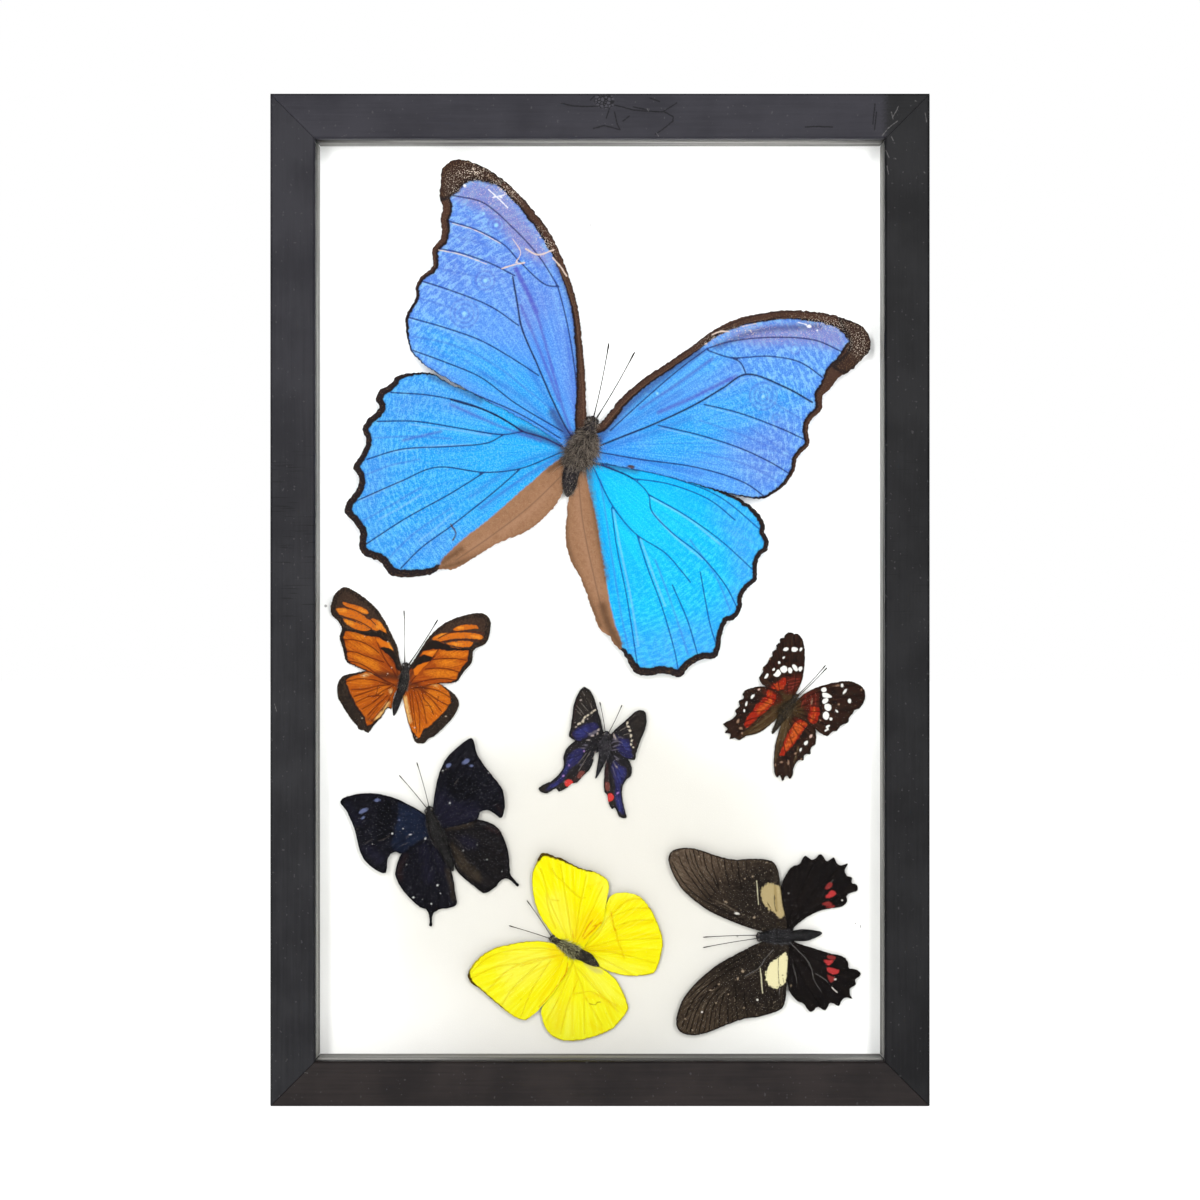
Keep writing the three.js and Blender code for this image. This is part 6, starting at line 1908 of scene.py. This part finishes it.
sulphur = {
    'name': 'sulphur', 'slot': 'yellow_wing', 'height': 1.95, 'tipRise': 1.0, 'span': 34,
    'thickness': 0.14, 'cell': 1.1, 'ragged': 0.3, 'pleats': 24, 'pleatHeight': 0.04,
    'spine': [(549, 938.5, 1.2), (551.5, 940, 3.4), (556, 943.5, 3.2), (562, 946.5, 4.4), (569, 951, 6.2),
        (576, 955, 6.6), (582, 957.5, 5.4), (587.5, 960, 6), (592.5, 964, 4.4), (596.5, 967, 2.2),
        (599, 968.5, 0.7)],
    'antennae': [[(551, 939), (526, 902)], [(551, 941), (508, 927.5)]],
    'antennaRadius': 0.13, 'waist': 0.58,
    'fur': [(0.02, 0.2, 160, 0.6, 1.0), (0.18, 0.56, 900, 1.3, 1.0), (0.55, 0.98, 160, 0.3, 0.7)],
    'hairWidth': 0.08,
    'body': {
        'trunk': ((26, 23, 21), (58, 52, 40)), 'antennae': ((52, 44, 38), (90, 80, 68)),
        'fur': ((52, 44, 22), (255, 250, 190)),
    },
    'look': {
        'roughness': 0.7, 'gloss': 0.02, 'groundFrom': (0.0, 1.0),
        'ground': ((252, 244, 8), (254, 252, 34)), 'streakAcross': 26, 'streakAlong': 2.0,
        'relief': 0.0002, 'streakRelief': 0.5,
        'layers': [
            ('pale', (254, 253, 104), 9, 6, 0.5),
            ('warm', (250, 216, 6), 4, 4, 0.7),
            ('clouds', (250, 234, 6), 0.2, 0, 0.3),
            ('streaks', (246, 222, 4), 0.2, 0, 0.4),
            ('paleStreaks', (255, 255, 92), 0.2, 0, 0.34),
            ('grain', (244, 230, 10), 0.2, 0, 0.25),
            # painted shade: deeper yellow lines in the creases between the veins
            ('fold', (244, 214, 4), 1.4, 1, 0.5),
            ('vein', (234, 184, 4), 0.7, 0.8, 0.55),
            ('orange', (216, 132, 4), 0.7, 1.4, 0.8),
            # painted shadow of the abdomen on the left hindwing
            ('smudge', (206, 192, 120), 2.5, 2.5, 0.7),
            ('border', (150, 118, 34), 0.4, 1.4, 0.7),
            ('tip', (66, 44, 16), 0.7, 1.8, 0.95),
            ('speck', (150, 120, 20), 0.5, 0.5, 0.8),
        ],
    },
    'forewing_left': {
        'outline': [567,951, 558,947, 543,943.3, 523,943.5, 507,946.3, 492,950.5, 478,959.5, 470,969,
            466.5,976.5, 469.5,984, 477,989.5, 490,1000.5, 508,1015, 516,1019.7, 523,1021.8, 528,1020,
            539,1010.5, 555.5,991, 567,973, 573,958],
        'root': (570, 953),
        'border': [567,951,0, 543,943.3,0.5, 507,946.3,0.9, 478,959.5,1.2, 466.5,976.5,2.4, 477,989.5,1.6,
            508,1015,1, 523,1021.8,0.6, 539,1010.5,0, 567,973,0],
        'marks': {
            'pale': [area(500,960, 530,950, 550,956, 545,975, 520,990, 500,980), line(6, 512,984,
                504,1004)],
            'warm': [line(4, 560,962, 550,985, 540,1000), area(548,946, 566,954, 560,964, 548,956)],
            'vein': lines(0.9, [487,992, 496,982, 506,973, 519,966, 535,961, 563,957], [520,968, 540,962,
                558,958]) + lines(0.6, [566,953, 530,950, 490,958, 470,974], [540,964, 512,990, 500,1008],
                [550,962, 532,990, 520,1018], [530,965, 498,968, 470,980], [562,961, 559,968]),
            'fold': lines(1.2, [560,960, 530,976, 508,998], [545,952, 505,964, 475,976], [500,984,
                484,996], [512,976, 500,990]),
            'orange': lines(0.8, [567,965, 565,975, 559,984, 549,997, 538,1009]),
            'tip': [line(2.8, 468,970, 467.4,977, 471,984, 477,990), line(1.8, 479,991.4, 486,997.4,
                493,1003), line(1.2, 494,1004, 502,1010)],
            'speck': [spot(520,1001, 1), spot(505,957, 0.8)],
        },
    },
    'forewing_right': {
        'outline': [567,950, 556,941, 544,925, 538,915, 533,900, 531.3,884, 532,873, 537,861, 539.5,855.5,
            542.5,854, 550,855.5, 554.5,858, 559,858.5, 570,864.5, 582,870, 591,871.8, 603,877.6,
            607.5,882.5, 608.5,890, 606,903, 602,924, 590,939, 579,954],
        'root': (572, 948),
        'border': [567,950,0, 544,925,0.5, 531.3,884,0.7, 534,868,1.2, 540,856,2.6, 550,856,3,
            559,859,2.6, 570,864.5,1.8, 591,871.8,1, 606,882,0.5, 606,903,0, 590,939,0],
        'look': {'ground': ((253, 244, 4), (254, 252, 18))},
        'marks': {
            'pale': [area(545,900, 560,895, 572,920, 570,938, 556,930), line(8, 596,878, 604,890,
                604,902)],
            'warm': [area(574,938, 582,918, 592,910, 600,916, 604,924, 592,938, 580,944), line(3, 574,936,
                572,916)],
            'vein': lines(0.9, [551,870, 556,878, 562,883, 571,892, 580,899, 585,899.5], [546,890,
                546.6,904, 550,918, 555,930]) + lines(0.6, [570,946, 552,910, 540,870], [572,944, 566,905,
                560,866], [548,901, 558,902], [574,944, 580,905, 586,876], [576,944, 590,915, 602,888]),
            'fold': lines(1.4, [566,938, 556,900, 548,866], [576,938, 574,900, 572,870], [586,888,
                600,884], [584,908, 580,926]),
            'orange': lines(1.2, [582,938, 586,930, 592,922], [584,940, 592,932, 600,924]) + lines(0.6,
                [592,928, 602,924], [572,932, 573,944]),
            'tip': [line(3.4, 537,861, 541,856.4, 546,855.6, 553,857.4, 561,860.4), line(2.4, 562,861,
                570,864.6, 579,868.6), line(1.2, 532.6,871, 537,861), line(1.4, 580,869, 591,872.4)],
            'speck': [spot(562,880, 1), spot(590,890, 0.8)],
        },
    },
    'hindwing_left': {
        'outline': [573,955, 566,972, 556,990, 545,1004, 540.5,1012, 541,1019, 544,1029, 550,1037,
            559,1042, 567,1043.2, 580,1042.4, 600,1037, 611,1031.7, 618,1025.5, 628,1011, 627.5,1007,
            622,993.5, 616,982.5, 603,971.5, 591,965, 580,958],
        'root': (578, 958),
        'border': [573,955,0, 545,1004,0, 541,1019,0, 559,1042,0.9, 580,1042.4,0.9, 611,1031.7,0.9,
            628,1009,0.9, 603,971.5,0.4, 580,958,0],
        'look': {'ground': ((253, 248, 26), (254, 252, 40))},
        'marks': {
            'pale': [area(586,972, 600,978, 614,992, 620,1004, 606,1000, 592,986), line(5, 552,1004,
                556,1030), line(4, 568,1010, 568,1036)],
            'warm': [line(3, 586,1000, 598,998, 606,1004, 614,1010), line(3, 560,1006, 556,1030), line(3,
                590,1026, 602,1034)],
            'vein': lines(0.8, [573,965, 576,976, 581,988, 583,997], [572,997, 580,995, 590,994, 602,1000,
                616,1008]) + lines(0.6, [583,997, 584,1036], [578,980, 566,1010, 560,1036], [583,997,
                602,1028], [576,970, 594,990, 618,1014], [572,968, 558,1000, 546,1022]),
            'fold': lines(1.4, [576,975, 572,1005, 572,1038], [580,970, 604,1000, 612,1024], [570,1000,
                568,1012]),
            # painted shadow of the abdomen
            'smudge': [line(4, 586,966, 594,972, 600,974)],
            'speck': [line(0.9, 589,1006, 595,1007, 597,1004.6, 600,1004.6), spot(606,1016, 0.8)],
        },
    },
    'hindwing_right': {
        'outline': [578,952, 596,925, 606,905, 611,897, 620,894.3, 631,895, 639,898, 650,910, 659,929,
            662.8,943, 661,957, 656.5,971, 653,975.5, 632,978.5, 617,976.5, 601,970, 590,961, 582,957],
        'root': (582, 955),
        'border': [578,952,0, 606,905,0, 620,894.3,0, 639,898,0.3, 659,929,0.9, 661,957,0.9,
            653,975.5,0.9, 617,976.5,0.8, 590,961,0],
        'look': {'ground': ((253, 245, 14), (254, 252, 30))},
        'marks': {
            'pale': [area(604,962, 620,966, 644,972, 620,974, 600,968), line(5, 598,930, 606,922), line(4,
                606,900, 622,895, 636,898)],
            'warm': [area(584,952, 600,946, 616,948, 634,954, 620,956, 600,954), line(3, 612,912, 628,902,
                640,900), line(3, 616,922, 634,914, 648,910), line(3, 618,930, 638,924, 652,924), line(3,
                620,938, 640,936, 656,938), line(3, 610,912, 613,926, 617,942, 622,958)],
            'vein': lines(0.9, [610,914, 612,924, 615,932, 618,944, 622,954, 624,960], [584,950, 598,936,
                606,922, 612,914]) + lines(0.6, [612,918, 634,910, 650,910], [585,950, 615,943, 660,940],
                [586,952, 615,955, 655,965], [587,954, 608,964, 632,977], [614,914, 628,902, 642,900],
                [616,928, 636,922, 654,922]),
            'fold': lines(1.4, [588,950, 620,930, 652,924], [590,954, 625,950, 658,952]),
            'orange': lines(0.6, [613,928, 615,932], [611,915, 613,924]),
            'speck': [spot(624,925, 0.9)],
        },
    },
}
makeSpecimen(sulphur)

swallowtail = {
    'name': 'swallowtail', 'slot': 'cream_patched_wing', 'height': 2.1, 'tipRise': 0.8, 'span': 32,
    'thickness': 0.14, 'cell': 1.1, 'ragged': 0.25, 'pleats': 26, 'pleatHeight': 0.03,
    'spine': [(756, 938, 1.5), (759, 938.5, 4.2), (764, 938.5, 5), (771, 938.5, 6.6), (780, 938.5, 7.2),
        (788, 938.5, 6.4), (794, 937.5, 5), (800, 937, 6.2), (808, 937, 6.2), (815, 936, 4),
        (820, 935.3, 2.4), (823, 935, 0.8)],
    'antennae': [[(759, 937), (703, 939)], [(759, 940), (703, 949.5)]],
    'antennaRadius': 0.13, 'waist': 0.5,
    'fur': [(0.02, 0.2, 160, 0.6, 1.0), (0.2, 0.52, 800, 1.1, 1.0), (0.5, 0.98, 260, 0.35, 0.7)],
    'hairWidth': 0.05,
    'body': {
        'trunk': ((15, 14, 15), (36, 35, 37)), 'antennae': ((38, 34, 32), (68, 62, 58)),
        'fur': ((12, 12, 13), (120, 118, 122)),
    },
    'look': {
        'roughness': 0.55, 'gloss': 0.025, 'groundFrom': (0.4, 0.9),
        'ground': ((24, 19, 16), (80, 66, 52)), 'raggedScale': 1700.0, 'streakAcross': 60,
        'streakAlong': 1.6, 'relief': 0.0001, 'streakRelief': 0.4, 'grainScale': 1900.0,
        'layers': [
            ('dark', (24, 20, 18), 6, 4, 0.9),
            ('clouds', (44, 35, 28), 0.2, 0, 0.35),
            ('streaks', (34, 27, 22), 0.16, 0, 0.5),
            ('paleStreaks', (104, 92, 78), 0.2, 0, 0.3),
            ('grain', (26, 20, 17), 0.14, 0, 0.35),
            ('paleGrain', (104, 92, 78), 0.14, 0, 0.22),
            ('flecks', (156, 140, 120), 0.06, 0, 0.4),
            ('light', (110, 97, 82), 0.8, 1.4, 0.55),
            ('vein', (15, 11, 9), 0.6, 0.7, 1.0),
            ('cream', (246, 236, 186), 0.5, 4.2, 0.97),
            ('dull', (190, 170, 122), 0.6, 4.2, 0.95),
            ('shade', (158, 134, 84), 0.9, 1.4, 0.7),
            ('nick', (48, 38, 26), 0.5, 1.2, 0.85),
            ('border', (30, 24, 21), 0.9, 1.0, 0.85),
            ('dimRed', (142, 50, 48), 0.6, 1.8, 0.95),
            ('red', (190, 58, 58), 0.6, 1.8, 0.97),
            ('thread', (104, 100, 98), 0.4, 1.0, 0.8),
            ('tan', (176, 154, 130), 0.6, 1.0, 0.85),
            ('stripe', (214, 206, 172), 0.4, 0.8, 0.9),
            ('white', (232, 226, 218), 0.5, 0.5, 0.95),
        ],
    },
    'forewing_left': {
        'outline': [778,940, 760,944.5, 739,954.5, 717.5,966.5, 706,975.5, 696,984.5, 688,993.5,
            681.5,1003.5, 678,1012.5, 676,1023, 677.5,1031, 682,1035, 690,1037, 698,1036.8, 709,1034,
            726,1027, 745,1020.6, 757,1019, 777,1013.3, 782.5,1010, 785.5,1003, 787,990, 788.3,969,
            789,950, 788,940],
        'root': (784, 946),
        'border': [778,940,0, 739,954.5,2, 696,984.5,2, 676,1023,1.6, 690,1037,1.6, 745,1020.6,1.4,
            782.5,1010,1.2, 788,969,0.6, 788,940,0],
        'marks': {
            'dark': [area(744,962, 764,948, 786,944, 788,1006, 770,1010, 752,1004, 742,984)],
            'light': lines(1.0, [690,992, 704,984, 720,972], [684,1006, 694,994, 708,986], [696,1000,
                706,990], [715,1004, 722,996, 728,990], [700,1016, 706,1002]) + [line(0.7, 744,980,
                752,976, 760,970)],
            'vein': lines(1.0, [682,1028, 689,1010, 698,996, 712,984, 730,972, 756,958], [690,1034,
                696,1014, 705,998, 718,986], [699,1034, 704,1014, 711,1000, 722,988], [709,1031, 712,1013,
                718,998], [719,1028, 720,1012, 724,996], [728,1025, 728,1008, 729,994], [738,1022,
                736,1004, 736,990], [748,1019, 745,1002, 744,990], [688,1000, 704,984, 724,970,
                750,955]) + lines(0.7, [686,1031, 693,1012, 702,997], [695,1034, 700,1014], [704,1033,
                708,1014], [714,1030, 716,1012], [733,1024, 732,1008]),
            'cream': [area(782,957, 786,955, 788,960, 787.6,972, 786.4,982, 784,986.6, 780.6,987, 777,990,
                772.6,988.6, 768.4,986, 766,979, 767.4,971, 770.6,965, 776,961)],
            'stripe': [line(1.0, 760.6,970, 761.6,982, 762.8,995), line(1.3, 761.4,976, 762,988)],
            'white': [spot(757.6,1001.6, 2.4), spot(702,1013.8, 2)],
            'nick': [line(0.7, 778.8,959, 778.6,972, 779.4,986), spot(783,977, 1.6, 1.2), line(0.6,
                783.4,980, 785,988)],
            'thread': [line(0.8, 774,951, 766,960, 759,970, 752,974, 745,978), line(0.6, 780,990,
                779.4,997)],
            'tan': [spot(743,973, 3, 3), spot(738,980.6, 2, 3), spot(719,986, 2, 1.6),
                spot(716,1004.6, 1.6), spot(711,992, 2.6, 1.2), spot(728.4,996, 1.4),
                spot(685,1020.6, 1.6), spot(692.4,1032, 1.6), spot(744,1009.6, 1.6, 1)],
        },
    },
    'forewing_right': {
        'outline': [776,937, 761,933, 745,928, 722,919, 710,913, 698,905, 682,890.5, 675,880, 670,868.5,
            668.3,859.5, 670,854, 675,850.5, 686,848.8, 699,850.7, 718,857.2, 736,860.8, 752,859.8,
            768,861, 774.5,864, 778.5,872, 780.8,886, 783.5,907, 787,926, 787,937],
        'root': (784, 932),
        'border': [776,937,0, 722,919,2, 682,890.5,2, 668.3,859.5,1.6, 686,848.8,1.6, 736,860.8,1.4,
            774.5,864,1.2, 783.5,907,0.6, 787,937,0],
        'look': {'ground': ((26, 21, 18), (112, 93, 76))},
        'marks': {
            'dark': [area(738,914, 758,926, 784,934, 784,876, 768,870, 748,882)],
            'light': lines(1.0, [716,902, 728,908, 738,914], [695,872, 702,876], [702,867, 706,873,
                712,876], [704,878, 710,882], [690,852, 694,858], [676,864, 684,880], [724,905, 740,916]),
            'vein': lines(1.0, [678,856, 683,868, 693,882, 704,896, 712,903], [685,852, 690,868, 700,884,
                712,900], [693,851, 698,868, 708,884, 716,894], [703,853, 706,868, 713,880, 719,890],
                [711,856, 713,870, 719,887], [724,860, 726,874, 730,888], [738,862, 739,876, 742,890],
                [672,864, 682,882, 698,898, 716,908, 744,922]) + lines(0.7, [689,851, 694,867, 703,882],
                [698,852, 702,867], [717,858, 720,872], [731,861, 733,874], [708,902, 712,897, 716,893],
                [746,862, 747,876]),
            'dull': [area(761.4,897, 762,890, 765.6,886, 770,884.4, 775,885.6, 780.4,888, 781.6,897,
                783.4,908, 785.6,916, 783,919, 779,919, 774,914, 769,910.6, 764.4,906)],
            'shade': [line(2.6, 775.4,888, 776,898, 777,912), line(1.2, 768,906, 772,911)],
            'nick': [line(0.8, 774.6,897, 775,906, 776.6,913), line(0.7, 767.6,904, 770.6,909),
                spot(775,899, 1.4, 3)],
            'tan': [spot(754.6,919, 2.6, 2), spot(726,903.4, 3.6, 1.6, 25), spot(745,880, 1.4),
                spot(720.4,882, 1.4), spot(752.6,877.6, 1.8, 2.2), spot(699,857.6, 1.4),
                spot(767,863.6, 2, 1)],
            'stripe': [line(0.7, 756.8,882, 757.8,894, 758.8,906), line(1.0, 757.2,886, 758,896)],
            'white': [spot(737,915, 5, 2.2, 12)],
        },
    },
    'hindwing_left': {
        'outline': [788,939, 797,944.5, 812,949.5, 833,956, 843,958.2, 849,964, 850,970, 855,970.8,
            861.5,975, 861,978, 856.3,981.5, 856.5,986.5, 851,991, 851,997, 853.5,1001, 847,999.7,
            843,1002, 839.5,1008, 831.5,1005, 825.5,1012.7, 818.7,1009.2, 811.5,1014.3, 804,1006,
            797.5,1003, 789.5,992.5, 787,975, 784,950, 782,939],
        'root': (788, 945),
        'border': [788,939,0, 833,956,0.8, 855,970.8,1, 851,997,1, 825.5,1012.7,1, 797.5,1003,0.8,
            784,950,0],
        'look': {
            'ground': ((13, 10, 10), (10, 8, 9)), 'streakAcross': 24,
            'tones': {'paleStreaks': (34, 30, 32), 'paleGrain': (34, 30, 34), 'clouds': (8, 7, 8),
                'flecks': (90, 84, 84)},
        },
        'marks': {
            'thread': [line(0.9, 791,945, 799,953, 806,960, 811,968, 813,974, 814,979), line(0.8,
                816,975.6, 822,979, 828.6,984), line(0.6, 793,966, 796,976, 797.6,985), line(0.5, 814,980,
                818,988, 822,993)],
            'tan': [spot(791.6,987.6, 1, 2)],
            'vein': lines(0.8, [790,948, 820,962, 848,974], [790,950, 816,976, 844,998], [789,952,
                806,984, 822,1008]),
            'dimRed': [area(827.6,958.6, 831,957.4, 837,959.4, 836,961.4, 829.6,961), area(828,976.8,
                832,978, 836,980, 834.6,983, 831.4,984.6, 829.4,981)],
            'red': [area(824.6,962, 829,962, 834.4,962.6, 832,966, 829,967.4, 826.4,965.4),
                area(827.6,970.6, 830,969, 835,970.6, 840.6,972.6, 838,975.6, 834,976.6, 829.6,974)],
            'white': [spot(836,981.4, 2.6, 1.8), line(0.9, 832.6,989.4, 835,992, 838,994.4),
                spot(796,943.6, 1.4, 0.8)],
        },
    },
    'hindwing_right': {
        'outline': [784,937, 783,910, 781.5,888, 790,871, 794,867.3, 799,866, 806,857, 811.5,860.8,
            815,860.6, 820.8,855.6, 823.5,857, 827.5,862.7, 834.5,858.8, 838,865, 842,867, 848.5,865,
            845.5,872, 848.5,877.5, 853,879, 852.5,884, 858,887, 858.5,892, 848.3,896.5, 847.5,904,
            843,908, 826,911.3, 816,914.6, 805,921, 795,929.5, 791,937],
        'root': (788, 932),
        'border': [784,937,0, 781.5,888,0.4, 806,857,0.8, 842,867,1, 858.5,892,1, 843,908,1, 805,921,0.6,
            791,937,0],
        'look': {
            'ground': ((13, 10, 10), (10, 8, 9)), 'streakAcross': 24,
            'tones': {'paleStreaks': (34, 30, 32), 'paleGrain': (34, 30, 34), 'clouds': (8, 7, 8),
                'flecks': (90, 84, 84)},
        },
        'marks': {
            'vein': lines(0.8, [790,930, 818,908, 850,894], [789,928, 812,896, 838,870], [788,926,
                802,892, 814,866]),
            'dimRed': [area(826,890, 828,886, 831.6,883.6, 833.4,886, 831.4,889.6, 827.4,891),
                area(823,906, 827,903.4, 831,903.6, 833.6,906.6, 829,908), area(827,909, 832,907.4,
                836,907.4, 833,910)],
            'red': [area(825.6,898.4, 829,895.4, 832,892, 834.6,892.4, 837,895.4, 833,898.6, 828.6,899.6)],
            'thread': [line(0.6, 832,884, 834,881)],
            'white': [spot(843,902, 1.8), spot(789.4,895, 1)],
        },
    },
}
makeSpecimen(swallowtail)

print('all pieces are in place')
